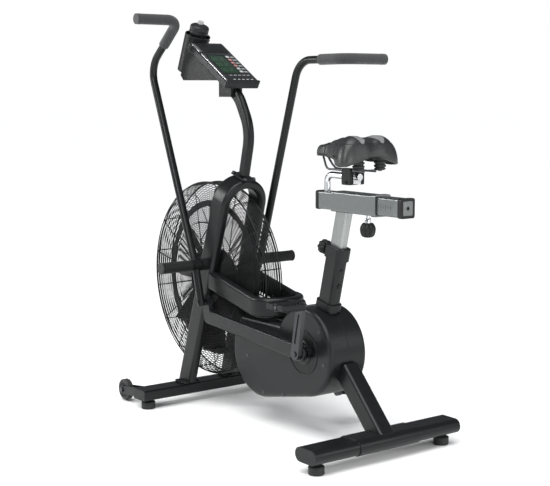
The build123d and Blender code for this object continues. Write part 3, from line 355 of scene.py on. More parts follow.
def pored(name, color, rough, cell, depth, sheen=0.0):
    """Foam or rubber: small pores with painted shade in the pits."""
    n = Nodes(name)
    soft, mask = n.edges(0.001)
    pits = n.cells(cell)
    fine = n.noise(cell * 2.0, 2.0)
    cloud = n.noise(12.0, 4.0)
    tone = n.mix(n.span(cloud, 0.3, 0.7), shade(color, 0.85), shade(color, 1.2))
    # painted shade in the pits
    tone = n.mix(n.span(pits, 0.0, 0.35, 0.45, 0.0), tone, shade(color, 0.45))
    # painted highlight: edges made brighter along the bevel mask
    tone = n.mix(n.math("MULTIPLY", mask, 0.35), tone, shade(color, 1.9))
    level = n.span(cloud, 0.3, 0.7, rough - 0.05, rough + 0.05)
    normal = n.bump(pits, depth, 0.7, soft)
    normal = n.bump(fine, depth * 0.4, 0.4, normal)
    return n.done(tone, level, normal, Sheen_Weight=sheen, Sheen_Roughness=0.5)


def vinyl(name, color, pads):
    """Grained vinyl; pads lists ellipses (x, y, rx, ry) painted in a paler tone as a highlight on the rear
    pads.
    """
    n = Nodes(name)
    grain = n.cells(620.0, "DISTANCE_TO_EDGE")
    coarse = n.noise(150.0, 5.0, 0.6)
    cloud = n.noise(14.0, 4.0)
    tone = n.mix(n.span(cloud, 0.3, 0.7), shade(color, 0.85), shade(color, 1.25))
    # painted shade in the grain's creases
    tone = n.mix(n.span(grain, 0.0, 0.12, 0.5, 0.0), tone, shade(color, 0.4))
    split = n.add("ShaderNodeSeparateXYZ")
    n.link(n.coord, split.inputs[0])
    for cx, cy, rx, ry in pads:
        dx = n.math("DIVIDE", n.math("SUBTRACT", split.outputs[0], cx + SHIFT.x), rx)
        dy = n.math("DIVIDE", n.math("SUBTRACT", split.outputs[1], cy), ry)
        far = n.math("ADD", n.math("MULTIPLY", dx, dx), n.math("MULTIPLY", dy, dy))
        far = n.math("ADD", far, n.span(coarse, 0.0, 1.0, -0.06, 0.06))
        # painted highlight on the rear pads
        tone = n.mix(n.span(far, 1.05, 0.95), tone, (0.17, 0.175, 0.18))
    level = n.span(coarse, 0.3, 0.7, 0.36, 0.50)
    normal = n.bump(grain, 0.00035, 0.55)
    normal = n.bump(coarse, 0.0003, 0.25, normal)
    return n.done(tone, level, normal, Coat_Weight=0.12, Coat_Roughness=0.35)


def glassy(name, low, high, rough=0.08):
    """Clear cover over a dim panel with faint smudges."""
    n = Nodes(name)
    smear = n.noise(30.0, 5.0, 0.7)
    dots = n.cells(900.0)
    tone = n.mix(n.span(smear, 0.3, 0.7), low, high)
    tone = n.mix(n.span(dots, 0.2, 0.5, 0.0, 0.12), tone, shade(high, 1.5))
    level = n.span(smear, 0.35, 0.8, rough, rough + 0.14)
    return n.done(tone, level, n.bump(smear, 0.00004, 0.2), Coat_Weight=0.6, Coat_Roughness=0.05)


PAINT = coated("powder_coat", (0.0060, 0.0067, 0.0070), 0.31, 1500.0, 0.00010, 0.0016, 0.40)
PAINT_LINK = coated("powder_coat_satin", (0.0070, 0.0078, 0.0082), 0.29, 1500.0, 0.00008, 0.0016, 0.4)
PLASTIC = coated("housing_plastic", (0.0072, 0.0084, 0.0087), 0.34, 1900.0, 0.00012, 0.0018, 0.30)
TRIM = coated("trim_plastic", (0.0080, 0.0084, 0.0089), 0.42, 1200.0, 0.00020, 0.0010, 0.35)
WIRE = coated("cage_wire_paint", (0.0060, 0.0064, 0.0068), 0.32, 1600.0, 0.00006, 0.0004, 0.3)
FAN_PAINT = coated("fan_paint", (0.0065, 0.0070, 0.0076), 0.36, 900.0, 0.00010, 0.0008, 0.4)
CASE = coated("case_plastic", (0.0105, 0.0110, 0.0116), 0.34, 1700.0, 0.00012, 0.0012, 0.4)
STEEL_X = brushed("brushed_steel_slider", (0.185, 0.197, 0.194), 0, 0.30)
STEEL_Z = brushed("brushed_steel_post", (0.29, 0.305, 0.300), 2, 0.27)
CHROME = brushed("chrome", (0.60, 0.61, 0.62), 0, 0.16)
ALUMINIUM = brushed("hub_aluminium", (0.42, 0.43, 0.44), 1, 0.34)
BOLT = brushed("bolt_steel", (0.085, 0.088, 0.092), 1, 0.34, 0.0006)
CRANK_STEEL = brushed("crank_steel", (0.060, 0.063, 0.067), 2, 0.30, 0.0012)
RUBBER = pored("pad_rubber", (0.0125, 0.0128, 0.0132), 0.72, 1300.0, 0.00012, 0.05)
TYRE = pored("tyre_rubber", (0.0150, 0.0152, 0.0158), 0.66, 1000.0, 0.00015, 0.05)
BELT = pored("belt_rubber", (0.010, 0.010, 0.010), 0.75, 800.0, 0.0001)
FOAM = pored("grip_foam", (0.0200, 0.0212, 0.0222), 0.78, 850.0, 0.00030, 0.25)
# the two ellipses are a painted highlight on the saddle's rear pads
VINYL = vinyl("saddle_vinyl", (0.0125, 0.0128, 0.0135),
              [(-0.462, 0.040, 0.034, 0.019), (-0.462, -0.040, 0.034, 0.019)])
SEAM = pored("saddle_piping", (0.020, 0.0205, 0.0215), 0.55, 1200.0, 0.0001)
SCREEN = glassy("display_glass", (0.006, 0.020, 0.010), (0.010, 0.030, 0.015))
FACE = glassy("console_face", (0.010, 0.011, 0.013), (0.015, 0.016, 0.018), 0.14)
STRIP = brushed("console_strip", (0.55, 0.56, 0.57), 0, 0.30)
PRINT = coated("print_white", (0.40, 0.42, 0.41), 0.5, 1500.0, 0.00004, 0.0002, 0.0)
PRINT_WARM = coated("print_warm", (0.36, 0.17, 0.17), 0.5, 1500.0, 0.00004, 0.0002, 0.0)
NOZZLE = coated("nozzle_plastic", (0.33, 0.34, 0.34), 0.38, 700.0, 0.00006, 0.0006, 0.1,
                Subsurface_Weight=0.1)
BOTTLE = coated("bottle_plastic", (0.014, 0.0145, 0.016), 0.30, 1200.0, 0.00008, 0.0008, 0.3)

SLOT_LOOKS = {
    "frame_paint": PAINT, "base_paint": PAINT, "housing_plastic": PLASTIC, "trim_plastic": TRIM,
    "cage_wire": WIRE, "fan_metal": FAN_PAINT, "bright_steel": STEEL_Z, "post_chrome": CHROME,
    "hub_metal": ALUMINIUM, "fastener_steel": BOLT, "tyre_rubber": TYRE, "pad_rubber": RUBBER,
    "belt_rubber": BELT, "foam": FOAM, "saddle_vinyl": VINYL, "case_plastic": CASE,
    "screen": SCREEN, "key_plastic": PRINT, "bottle_plastic": BOTTLE, "nozzle_plastic": NOZZLE,
}
NODE_LOOKS = {"slider_sleeve": STEEL_X, "slider_tube": STEEL_X, "crank_arms": CRANK_STEEL,
              "crank_axle": CRANK_STEEL, "link_left": PAINT_LINK, "link_right": PAINT_LINK,
              "saddle_rails": BOLT, "saddle_clamp": TRIM}


def dress_cad():
    """Give every CAD node its material and soft shading."""
    looks = {}
    for part in frame["record"]["subparts"]:
        looks[part["node"]] = SLOT_LOOKS[part["material_slot"]]
    looks.update(NODE_LOOKS)
    for name, obj in frame["nodes"].items():
        mesh = obj.data
        if not mesh.materials:
            mesh.materials.append(looks[name])
        for index in range(len(mesh.materials)):
            mesh.materials[index] = looks[name]
        mesh.shade_smooth()
        mesh.set_sharp_from_angle(angle=math.radians(28))


# ---- Fan cage ---------------------------------------------------------------

def cage_point(angle, r, y):
    """A point at an angle and a radius from the fan's axle."""
    return Vector((FAN[0] + r * math.cos(angle), y, FAN[2] + r * math.sin(angle)))


def cage():
    """Dense ring wires with radial ties on both faces and round the rim."""
    first, pitch, ties = 0.066, 0.0072, 16
    face_wire, rim_wire, tie_wire = 0.00125, 0.00140, 0.0019
    geos = []
    path = []
    r = first
    while r < CAGE_R - CAGE_EDGE:
        path.append((r, CAGE_HALF))
        r += pitch
    for i in range(4):
        t = math.radians(15 + 22 * i)
        path.append((CAGE_R - CAGE_EDGE + CAGE_EDGE * math.sin(t),
                     CAGE_HALF - CAGE_EDGE + CAGE_EDGE * math.cos(t)))
    for r, y in path:
        for side in (1, -1):
            geos.append(ring_geo((FAN[0], side * y, FAN[2]), Y, r, face_wire, 120, 6))
    for y in (-0.019, -0.0095, 0.0, 0.0095, 0.019):
        geos.append(ring_geo((FAN[0], y, FAN[2]), Y, CAGE_R, rim_wire, 120, 6))
    for side in (1, -1):
        geos.append(ring_geo((FAN[0], side * 0.0285, FAN[2]), Y, CAGE_R + 0.0005, 0.0026, 120, 8))
        geos.append(ring_geo((FAN[0], side * (CAGE_HALF - 0.0015), FAN[2]), Y, 0.0625, 0.0028, 72, 8))
        geos.append(ring_geo((FAN[0], side * (CAGE_HALF - 0.003), FAN[2]), Y, 0.205, 0.0020, 96, 6))
        for i in range(ties):
            a = 2 * math.pi * (i + 0.5) / ties
            spine = [cage_point(a, 0.060, side * (CAGE_HALF - 0.003))]
            spine.append(cage_point(a, CAGE_R - CAGE_EDGE, side * (CAGE_HALF - 0.003)))
            for k in range(1, 5):
                t = math.radians(22.5 * k)
                spine.append(cage_point(a, CAGE_R - 0.003 - CAGE_EDGE + CAGE_EDGE * math.sin(t),
                                        side * (CAGE_HALF - 0.003 - CAGE_EDGE + CAGE_EDGE * math.cos(t))))
            spine.append(cage_point(a, CAGE_R - 0.003, 0.0))
            geos.append(tube_geo(spine, tie_wire, 6))
    obj = piece("cage_wires", merge(geos), "frame", WIRE, 60)
    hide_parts("cage_left", "cage_right", "cage_rim")
    plates = []
    for side in (1, -1):
        axis = Vector((0, side, 0))
        profile = [(0.017, 0.0465), (0.0625, 0.0465), (0.0635, 0.0475), (0.0625, 0.0490),
                   (0.0400, 0.0500), (0.017, 0.0500), (0.017, 0.0465)]
        plates.append(lathe_geo(FAN, axis, profile, 64))
    piece("cage_hub_plates", merge(plates), "frame", WIRE)


# ---- Saddle -----------------------------------------------------------------

# Keys are pairs of (share of the length from the nose, value).

NOSE_X, REAR_X = -0.232, -0.508
WIDTHS = ((0.0, 0.0), (0.02, 0.0135), (0.06, 0.0220), (0.15, 0.0275), (0.30, 0.0325), (0.45, 0.0450),
          (0.60, 0.0720), (0.72, 0.0985), (0.82, 0.1130), (0.90, 0.1145), (0.95, 0.1075),
          (0.985, 0.0860), (1.0, 0.0450))
CROWN = ((0.0, 0.9570), (0.10, 0.9690), (0.22, 0.9740), (0.40, 0.9860), (0.60, 0.9950), (0.82, 1.0020),
         (0.93, 1.0005), (1.0, 0.9880))
SKIRT = ((0.0, 0.9390), (0.18, 0.9340), (0.30, 0.9300), (0.45, 0.9260), (0.64, 0.9170), (0.82, 0.9095),
         (0.94, 0.9110), (1.0, 0.9200))
LOBE = (-0.452, 0.058, 0.050, 0.040)            # centre and radii of the raised pad on each side
THIGH = (-0.370, 0.026, 0.060, 0.024)           # and of the softer rise in front of it
CHANNEL = (-0.455, 0.0, 0.105, 1.0)             # length of the centre channel
NOSE_SEAM_X, SEAM_RHO = -0.294, 0.80
BASE_Z, TOP_Z = 0.9392, 1.0028


def along(x, keys, smooth=True):
    """The value of a row of keys at x, eased or straight between them."""
    t = (NOSE_X - x) / (NOSE_X - REAR_X)
    for (a, za), (b, zb) in zip(keys, keys[1:]):
        if t <= b:
            s = (t - a) / (b - a)
            if smooth:
                s = max(s, 0.0)
                s = s * s * (3 - 2 * s)
            return za + (zb - za) * s
    return keys[-1][1]


def half_width(x):
    """From the saddle's middle to its side."""
    return along(x, WIDTHS, smooth=False)


def skirt_z(x, y):
    """Height of the lower edge: deepest under the two lobes, scooped up at the rear middle."""
    scoop = max(1.0 - abs(y) / 0.088, 0.0)
    rear = min(max((-0.470 - x) / 0.030, 0.0), 1.0)
    return along(x, SKIRT) + 0.026 * scoop ** 1.4 * rear


def bump(x, y, cx, cy, rx, ry):
    """A smooth hill, 1 at its centre and 0 outside its ellipse."""
    d = ((x - cx) / rx) ** 2 + ((y - cy) / ry) ** 2
    return max(0.0, 1.0 - d) ** 2


def outline_points(steps):
    """The saddle's outline as evenly spaced points, anticlockwise from the nose."""
    half = []
    fine = 399
    for i in range(fine + 1):
        x = NOSE_X + (REAR_X - NOSE_X) * (i / fine)
        half.append((x, half_width(x)))
    half.append((REAR_X + 0.0015, 0.0225))
    half.append((REAR_X + 0.0040, 0.0))
    full = half + [(x, -y) for x, y in reversed(half[1:-1])]
    lengths = [0.0]
    loop = full + [full[0]]
    for (xa, ya), (xb, yb) in zip(loop, loop[1:]):
        lengths.append(lengths[-1] + math.hypot(xb - xa, yb - ya))
    points = []
    k = 0
    for i in range(steps):
        want = lengths[-1] * i / steps
        while lengths[k + 1] < want:
            k += 1
        s = (want - lengths[k]) / max(lengths[k + 1] - lengths[k], 1e-9)
        (xa, ya), (xb, yb) = loop[k], loop[k + 1]
        points.append((xa + (xb - xa) * s, ya + (yb - ya) * s))
    for _ in range(6):
        points = [((points[i - 1][0] + 2 * points[i][0] + points[(i + 1) % steps][0]) / 4,
                   (points[i - 1][1] + 2 * points[i][1] + points[(i + 1) % steps][1]) / 4)
                  for i in range(steps)]
    return points


def saddle_point(px, py, rho):
    """A point of the cushion: rho 0 on the spine, 1 at the widest edge, above 1 tucked under."""
    sx = min(max(px, REAR_X + 0.065), NOSE_X - 0.022)
    if rho <= 1.0:
        x = sx + (px - sx) * rho
        y = py * rho
        top, edge = along(x, CROWN), skirt_z(px, py) + 0.006
        full = (1.0 - rho ** 4.2) ** 0.52
        z = edge + (top - edge) * full
        z += 0.0050 * bump(x, abs(y), *LOBE) * full
        z += 0.0040 * bump(x, abs(y), *THIGH)
        z -= 0.0150 * math.exp(-(y / 0.0210) ** 2) * bump(x, 0.0, *CHANNEL)
        if x < -0.300:
            z -= 0.0018 * math.exp(-((rho - SEAM_RHO) / 0.014) ** 2)
        z -= 0.0026 * math.exp(-((x - NOSE_SEAM_X) / 0.0020) ** 2)
        return Vector((x, y, min(z, TOP_Z)))
    s = rho - 1.0
    inset = 0.0058 * min(s * 4.0, 1.0)
    far = max(math.hypot(px - sx, py), 1e-6)
    x = px - (px - sx) * inset / far
    y = py - py * inset / far
    edge = skirt_z(px, py)
    z = edge + 0.006 - 0.006 * math.sin(min(s * 4.0, 1.0) * math.pi / 2)
    if s > 0.25:
        z += (BASE_Z - z) * min((s - 0.25) * 8.0, 1.0)
    return Vector((x, y, z))


def saddle():
    """Crowned vinyl cushion with raised pads, a centre channel, seams and piping."""
    steps = 220
    outline = outline_points(steps)
    rhos = [0.03, 0.10, 0.18, 0.26, 0.34, 0.42, 0.50, 0.58, 0.65, 0.70, 0.74, 0.77, 0.785, 0.80, 0.815,
            0.83, 0.86, 0.89, 0.92, 0.945, 0.965, 0.98, 0.99, 0.997, 1.0, 1.06, 1.12, 1.18, 1.25, 1.40]
    verts, faces = [], []
    for rho in rhos:
        for px, py in outline:
            verts.append(saddle_point(px, py, rho))
    for i in range(len(rhos) - 1):
        for k in range(steps):
            m = (k + 1) % steps
            faces.append((i * steps + k, i * steps + m, (i + 1) * steps + m, (i + 1) * steps + k))
    faces.append(tuple(range(steps)))
    faces.append(tuple((len(rhos) - 1) * steps + k for k in range(steps)))
    obj = piece("saddle_cover", (verts, faces), "saddle", VINYL, 70)
    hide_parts("saddle_cushion")
    piping = [saddle_point(px, py, 1.05) for px, py in outline]
    trim = [tube_geo(piping, 0.0016, 8, closed=True)]
    nose, nose_x = [], -0.2975
    for k in range(-20, 21):
        t = k / 20
        px, py = nose_x, half_width(nose_x) * (1 if t >= 0 else -1)
        nose.append(saddle_point(px, py, max(abs(t), 0.02)) + Z * 0.0012)
    trim.append(tube_geo(nose, 0.0014, 8))
    stitches, stitch_rho = [], 0.825
    for i in range(steps):
        px, py = outline[i]
        a = saddle_point(px, py, stitch_rho)
        px, py = outline[(i + 1) % steps]
        b = saddle_point(px, py, stitch_rho)
        if a.x < -0.296:
            stitches.append(tube_geo([a + (b - a) * 0.15, a + (b - a) * 0.5 + Z * 0.0003,
                                      a + (b - a) * 0.85], 0.00042, 5))
    piece("saddle_seams", merge(trim + stitches), "saddle", SEAM, 60)


def saddle_gear():
    """Rails, bumpers and the bridge under the saddle."""
    rail_z = 0.893
    rails, bumpers = [], []
    for side in (1, -1):
        points = [(-0.266, side * 0.009, 0.9335), (-0.272, side * 0.0105, 0.924),
                  (-0.285, side * 0.0145, 0.905), (-0.296, side * 0.0172, 0.8955),
                  (-0.306, side * 0.0178, rail_z), (-0.405, side * 0.0213, rail_z),
                  (-0.482, side * 0.0238, rail_z)]
        rails.append(tube_geo(points, 0.0035, 14))
        low = Vector((-0.479, side * 0.044, 0.898))
        profile = [(0.0, 0.0), (0.0165, 0.0), (0.0180, 0.0015), (0.0180, 0.004), (0.0140, 0.0055),
                   (0.0185, 0.009), (0.0195, 0.0115), (0.0185, 0.014), (0.0145, 0.0165),
                   (0.0185, 0.020), (0.0195, 0.0225), (0.0185, 0.025), (0.0145, 0.0275),
                   (0.0180, 0.031), (0.0195, 0.033), (0.0195, 0.0355), (0.0, 0.0355)]
        bumpers.append(lathe_geo(low, Z, profile, 40))
        rails.append(lathe_geo(low - Z * 0.0050, Z, [(0.0, 0.0), (0.0065, 0.0), (0.0070, 0.0006),
                                                    (0.0070, 0.0036), (0.0, 0.0036)], 6))
    bridge = slab_geo((-0.479, 0, 0.8965), X, Y, Z, -0.014, 0.014, -0.056, 0.056, 0.0, 0.0015, 0.010,
                      0.0004)
    rails.append(bridge)
    obj = piece("saddle_rail_wires", merge(rails), "saddle", BOLT)
    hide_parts("saddle_rails")
    piece("saddle_bumpers", merge(bumpers), "saddle", RUBBER)


# ---- Knobs, pins and the slider's marks -------------------------------------

def knob_geo(origin, axis, length, radius):
    """A pear-shaped knob with eight flutes."""
    rows = ((0.0, 0.34), (0.0, 0.62), (0.04, 0.72), (0.10, 0.80), (0.22, 0.93), (0.36, 1.0), (0.52, 1.0),
            (0.68, 0.95), (0.82, 0.86), (0.92, 0.72), (0.98, 0.50), (1.0, 0.30), (1.0, 0.0))
    profile = [(radius * r, length * h) for h, r in rows]
    return lathe_geo(origin, axis, profile, 96, 8, radius * 0.20, (length * 0.06, length * 0.93))


def knobs():
    """Pull knob of the height pin and clamp knob of the slider."""
    start = SEAT_AXIS + POST_UP * 0.013 + POST_OUT * 0.029
    stem = lathe_geo(start, POST_OUT, [(0.0, 0.0), (0.0052, 0.0), (0.0060, 0.001), (0.0060, 0.024),
                                       (0.0, 0.024)], 32)
    collar = lathe_geo(start + POST_OUT * 0.0190, POST_OUT, [(0.0062, 0.0), (0.0092, 0.0), (0.0096, 0.0006),
                                                           (0.0096, 0.0042), (0.0062, 0.0046)], 32)
    obj = piece("height_pin_stem", merge([stem, collar]), "height_pin", CHROME)
    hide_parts("height_pin")
    piece("height_pin_knob", knob_geo(start + POST_OUT * 0.0235, POST_OUT, 0.0345, 0.0248),
          "height_pin", TRIM, 55)
    top = Vector((-0.475, 0, 0.758))
    stem = lathe_geo(top, -Z, [(0.0, 0.0), (0.0058, 0.0), (0.0058, 0.010), (0.0095, 0.0108),
                               (0.0100, 0.0125), (0.0100, 0.0250), (0.0, 0.0252)], 32)
    obj = piece("slider_knob_stem", stem, "slider_knob", CHROME)
    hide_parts("slider_knob")
    piece("slider_knob_grip", knob_geo(top - Z * 0.0245, -Z, 0.0455, 0.0246), "slider_knob", TRIM,
          55)


def slider_marks():
    """Position ticks on the slider, its two end caps and the bolt in the rear one."""
    tick_pitch, ticks_each_side = 0.011, 7
    low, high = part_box("slider_tube")
    ticks = []
    for side in (1, -1):
        y = side * high.y
        out = Vector((0, side, 0))
        for i in range(ticks_each_side):
            x = low.x - SHIFT.x + 0.010 + i * tick_pitch
            tall = 0.017 if i % 2 == 0 else 0.010
            ticks.append(slab_geo((x, y, SLIDER_Z), X, Z, out, -0.0007, 0.0007, -tall / 2, tall / 2,
                                  -0.0003, 0.00012, 0.0003))
    piece("slider_ticks", merge(ticks), "slider", TRIM)
    half_y, half_z, corner = 0.0285, 0.0305, 0.0070
    low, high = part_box("slider_caps")
    rear = Vector((low.x - SHIFT.x, 0, SLIDER_Z))
    front = Vector((-0.262, 0, SLIDER_Z))
    caps = [slab_geo(at, Y, Z, X, -half_y, half_y, -half_z, half_z, start, end, corner, soft)
            for at, start, end, soft in ((rear, 0.0008, 0.0170, 0.0018), (front, 0.0, 0.0118, 0.0016))]
    obj = piece("slider_cap_frames", merge(caps), "slider", TRIM)
    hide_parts("slider_caps")
    core = slab_geo(rear, Y, Z, X, -0.0264, 0.0264, -0.0284, 0.0284, 0.0120, 0.0420, 0.0060, 0.0006)
    plate = slab_geo(rear, Y, Z, X, -0.0190, 0.0190, -0.0215, 0.0215, 0.0001, 0.0030, 0.0045, 0.0006)
    piece("slider_tube_end", merge([core, plate]), "slider", STEEL_X)
    bolt = lathe_geo(rear + X * 0.0003, -X, [(0.0, 0.0), (0.0062, 0.0), (0.0062, 0.0005), (0.0056, 0.0009),
                                             (0.0032, 0.0009), (0.0030, 0.0002), (0.0, 0.0002)], 24)
    piece("slider_cap_hole", bolt, "slider", BELT)


# ---- Console, bottle --------------------------------------------------------

def face_slab(u0, u1, v0, v1, n0, n1, radius, bevel=0.0):
    """A plate on the console: u runs up its face, v across it and n out of it."""
    return slab_geo(CASE_LOW, CASE_UP, Y, CASE_OUT, u0, u1, v0, v1, n0, n1, radius, bevel)


def segment(u, v, size, which):
    """One digit in bars, as on a plain readout."""
    w, h, t = size * 0.5, size, size * 0.09
    bars = {"a": (h - t, h, t, w - t), "g": ((h - t) / 2, (h + t) / 2, t, w - t), "d": (0, t, t, w - t),
            "f": (h / 2 + t, h - t, 0, t), "b": (h / 2 + t, h - t, w - t, w),
            "e": (t, h / 2 - t, 0, t), "c": (t, h / 2 - t, w - t, w)}
    geos = []
    for name in which:
        u0, u1, v0, v1 = bars[name]
        geos.append(face_slab(u + u0, u + u1, v - v1, v - v0, -0.0002, 0.0003, 0.0001))
    return geos


def console():
    """Face panel, bezel, readout, printed keys and the bright side strip."""
    face = face_slab(0.012, 0.268, -0.066, 0.058, -0.0005, 0.0012, 0.006, 0.0006)
    obj = piece("console_face_panel", face, "frame", FACE)
    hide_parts("display")
    piece("display_window", face_slab(0.060, 0.186, -0.020, 0.050, 0.0010, 0.0016, 0.003, 0.0003),
          "frame", SCREEN)
    bezel = []
    frame_line = ((0.058, 0.188, 0.049, 0.052), (0.058, 0.188, -0.022, -0.019),
                  (0.186, 0.189, -0.022, 0.052), (0.057, 0.060, -0.022, 0.052))
    for u0, u1, v0, v1 in frame_line:
        bezel.append(face_slab(u0, u1, v0, v1, 0.0010, 0.0024, 0.0008, 0.0006))
    bezel.append(face_slab(0.206, 0.262, -0.060, 0.052, 0.0010, 0.0028, 0.008, 0.0010))
    piece("console_bezel", merge(bezel), "frame", CASE)
    strip = [face_slab(0.014, 0.200, 0.060, 0.0675, -0.0005, 0.0014, 0.0012, 0.0006),
             face_slab(0.212, 0.270, 0.053, 0.0675, -0.0005, 0.0014, 0.0016, 0.0006)]
    piece("console_side_strip", merge(strip), "frame", STRIP)
    marks = []
    shapes = (("abcdef", 0), ("abcdef", 1), ("bc", 2), ("abged", 3))
    for row in range(3):
        for which, k in shapes:
            marks += segment(0.076 + row * 0.036, 0.044 - k * 0.0125, 0.019, which)
    for k in range(4):
        v = 0.030 - k * 0.014
        marks.append(face_slab(0.0715, 0.0725, v, v + 0.010, 0.0014, 0.0018, 0.0002))
    readout_lift = 0.0015
    green = coated("readout_green", (0.055, 0.13, 0.075), 0.4, 900.0, 0.00003, 0.0002, 0.0)
    lifted = merge(marks)
    lifted = ([v + CASE_OUT * readout_lift for v in lifted[0]], lifted[1])
    piece("readout_digits", lifted, "frame", green)
    white, warm = [], []
    for row in range(6):
        u = 0.068 + row * 0.0205
        keys = warm if row in (2, 3, 4) else white
        keys.append(face_slab(u, u + 0.0125, -0.040, -0.026, 0.0010, 0.0015, 0.002, 0.0003))
        white.append(face_slab(u + 0.001, u + 0.0035, -0.061, -0.044, 0.0010, 0.0014, 0.0004, 0.0001))
        white.append(face_slab(u + 0.0055, u + 0.0075, -0.058, -0.044, 0.0010, 0.0014, 0.0004, 0.0001))
    for k in range(5):
        v = 0.034 - k * 0.0185
        white.append(face_slab(0.0175, 0.0215, v - 0.010, v, 0.0010, 0.0015, 0.0008, 0.0002))
        white.append(face_slab(0.0465, 0.0495, v - 0.012, v, 0.0010, 0.0015, 0.0008, 0.0002))
    piece("printed_marks", merge(white), "frame", PRINT)
    piece("printed_keys", merge(warm), "frame", PRINT_WARM)
    lip = face_slab(0.0005, 0.011, -0.070, 0.070, -0.0005, 0.0042, 0.0035, 0.0016)
    piece("console_lip", lip, "frame", CASE)


def bottle():
    """Ribbed cap, threaded neck, pull-up nozzle and the holder's rolled rim."""
    cap_at = BOTTLE_LOW + BOTTLE_UP * 0.143
    rows = [(0.0255, 0.0), (0.0335, 0.0), (0.0345, 0.0012), (0.0350, 0.003), (0.0350, 0.009),
            (0.0338, 0.0102), (0.0350, 0.0115), (0.0350, 0.0235), (0.0340, 0.0262), (0.0315, 0.0290),
            (0.0275, 0.0312), (0.0200, 0.0325), (0.0165, 0.0330), (0.0150, 0.0358), (0.0100, 0.0360),
            (0.0095, 0.0345)]
    cap = lathe_geo(cap_at, BOTTLE_UP, rows, 168, 28, 0.0014, (0.0112, 0.0240))
    obj = piece("bottle_cap_ribbed", cap, "bottle", BOTTLE, 38)
    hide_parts("bottle_cap")
    rows = [(0.0, 0.021), (0.0088, 0.021), (0.0088, 0.0364), (0.0112, 0.0370), (0.0118, 0.0384),
            (0.0104, 0.0410), (0.0098, 0.0425), (0.0108, 0.0438), (0.0112, 0.0448), (0.0098, 0.0466),
            (0.0060, 0.0470), (0.0052, 0.0462), (0.0040, 0.0440), (0.0, 0.0440)]
    obj = piece("bottle_nozzle_turned", lathe_geo(cap_at, BOTTLE_UP, rows, 48), "nozzle", NOZZLE)
    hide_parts("bottle_nozzle")
    neck = [ring_geo(cap_at - BOTTLE_UP * d, BOTTLE_UP, 0.0255, 0.0011, 64, 8) for d in (0.0035, 0.0075)]
    neck.append(lathe_geo(cap_at - BOTTLE_UP * 0.018, BOTTLE_UP,
                          [(0.024, 0.0), (0.0305, 0.0005), (0.0312, 0.0020), (0.0300, 0.0045),
                           (0.0262, 0.0070), (0.0252, 0.0072)], 64))
    piece("bottle_neck_rings", merge(neck), "bottle", BOTTLE)
    rim = [ring_geo(HOLDER_TOP - BOTTLE_UP * 0.0012, BOTTLE_UP, 0.0445, 0.0017, 96, 8),
           ring_geo(HOLDER_TOP - BOTTLE_UP * 0.012, BOTTLE_UP, 0.0458, 0.0009, 96, 6)]
    piece("holder_rim", merge(rim), "frame", TRIM)


# ---- Drive side details -----------------------------------------------------

def drive_trim():
    """Port rings, crank locknuts and the cover screws' sockets, on both covers."""
    y = COVER_FACE
    rings, nuts, sockets = [], [], []
    for side in (1, -1):
        axis = Vector((0, side, 0))
        rings.append(lathe_geo(CRANK, axis, [(0.0700, y - 0.003), (0.0735, y - 0.003), (0.0745, y + 0.0005),
                                             (0.0730, y + 0.0018), (0.0705, y + 0.0018),
                                             (0.0695, y + 0.0006), (0.0700, y - 0.003)], 96))
        rings.append(lathe_geo(CRANK, axis, [(0.0270, y - 0.001), (0.0400, y - 0.001), (0.0410, y + 0.001),
                                             (0.0385, y + 0.0030), (0.0300, y + 0.0036),
                                             (0.0270, y + 0.0030)], 72))
        rows = [(0.0125, y + 0.0043), (0.0255, y + 0.0043), (0.0262, y + 0.0050), (0.0255, y + 0.0060),
                (0.0205, y + 0.0064), (0.0190, y + 0.0052), (0.0125, y + 0.0052)]
        nuts.append(lathe_geo(CRANK, axis, rows, 72))
        for x, z in SCREW_PLACES:
            rows = [(0.0, y - 0.003), (0.0052, y - 0.003), (0.0056, y + 0.0001), (0.0036, y + 0.0004),
                    (0.0026, y - 0.0012), (0.0, y - 0.0012)]
            sockets.append(lathe_geo((x, 0, z), axis, rows, 20))
    piece("port_rings", merge(rings), "frame", PLASTIC)
    piece("shaft_locknuts", merge(nuts), "frame", ALUMINIUM)
    piece("cover_screw_sockets", merge(sockets), "frame", BOLT)


def pedal_trim():
    """Centre barrel, end nut, rails and grip ribs on each pedal."""
    for name, side, at in PEDALS:
        out = Vector((0, side, 0))
        barrel = [lathe_geo((at.x, side * 0.1516, at.z), out,
                            [(0.0078, 0.0), (0.0120, 0.0), (0.0130, 0.0015), (0.0130, 0.012),
                             (0.0115, 0.020), (0.0115, 0.070), (0.0130, 0.078), (0.0130, 0.0905),
                             (0.0110, 0.0914), (0.0, 0.0914)], 40)]
        rails = ((-0.0465, 0.0465), 0.1535, 0.2405, 0.0082, 0.0016)
        ribs = ((-0.019, -0.0075, 0.0075, 0.019), 0.158, 0.236, 0.0093, 0.0013)
        for places, y0, y1, height, r in (rails, ribs):
            for dx in places:
                for z in (at.z - height, at.z + height):
                    barrel.append(tube_geo([(at.x + dx, side * y0, z), (at.x + dx, side * y1, z)], r, 8))
        piece("pedal_barrel_" + name, merge(barrel), "pedal_" + name, TRIM)
        cap = lathe_geo((at.x, side * 0.2425, at.z), out, [(0.0, 0.0), (0.0072, 0.0), (0.0078, 0.0004),
                                                          (0.0070, 0.0012), (0.0, 0.0014)], 6)
        piece("pedal_end_nut_" + name, cap, "pedal_" + name, BOLT)


# ---- Feet, wheels, pegs, grips ----------------------------------------------

def feet():
    """Ridged rubber pads."""
    rows = [(0.0, 0.0), (0.0228, 0.0), (0.0245, 0.0012), (0.0250, 0.0030), (0.0250, 0.0090),
            (0.0243, 0.0098), (0.0250, 0.0106), (0.0250, 0.0160), (0.0243, 0.0168),
            (0.0250, 0.0176), (0.0250, 0.0240), (0.0238, 0.0256), (0.0215, 0.0262), (0.0062, 0.0262)]
    pads = [lathe_geo((x, y, 0), Z, rows, 56) for x, y in FOOT_PLACES]
    obj = piece("ridged_pads", merge(pads), "frame", RUBBER)
    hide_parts("foot_pads")


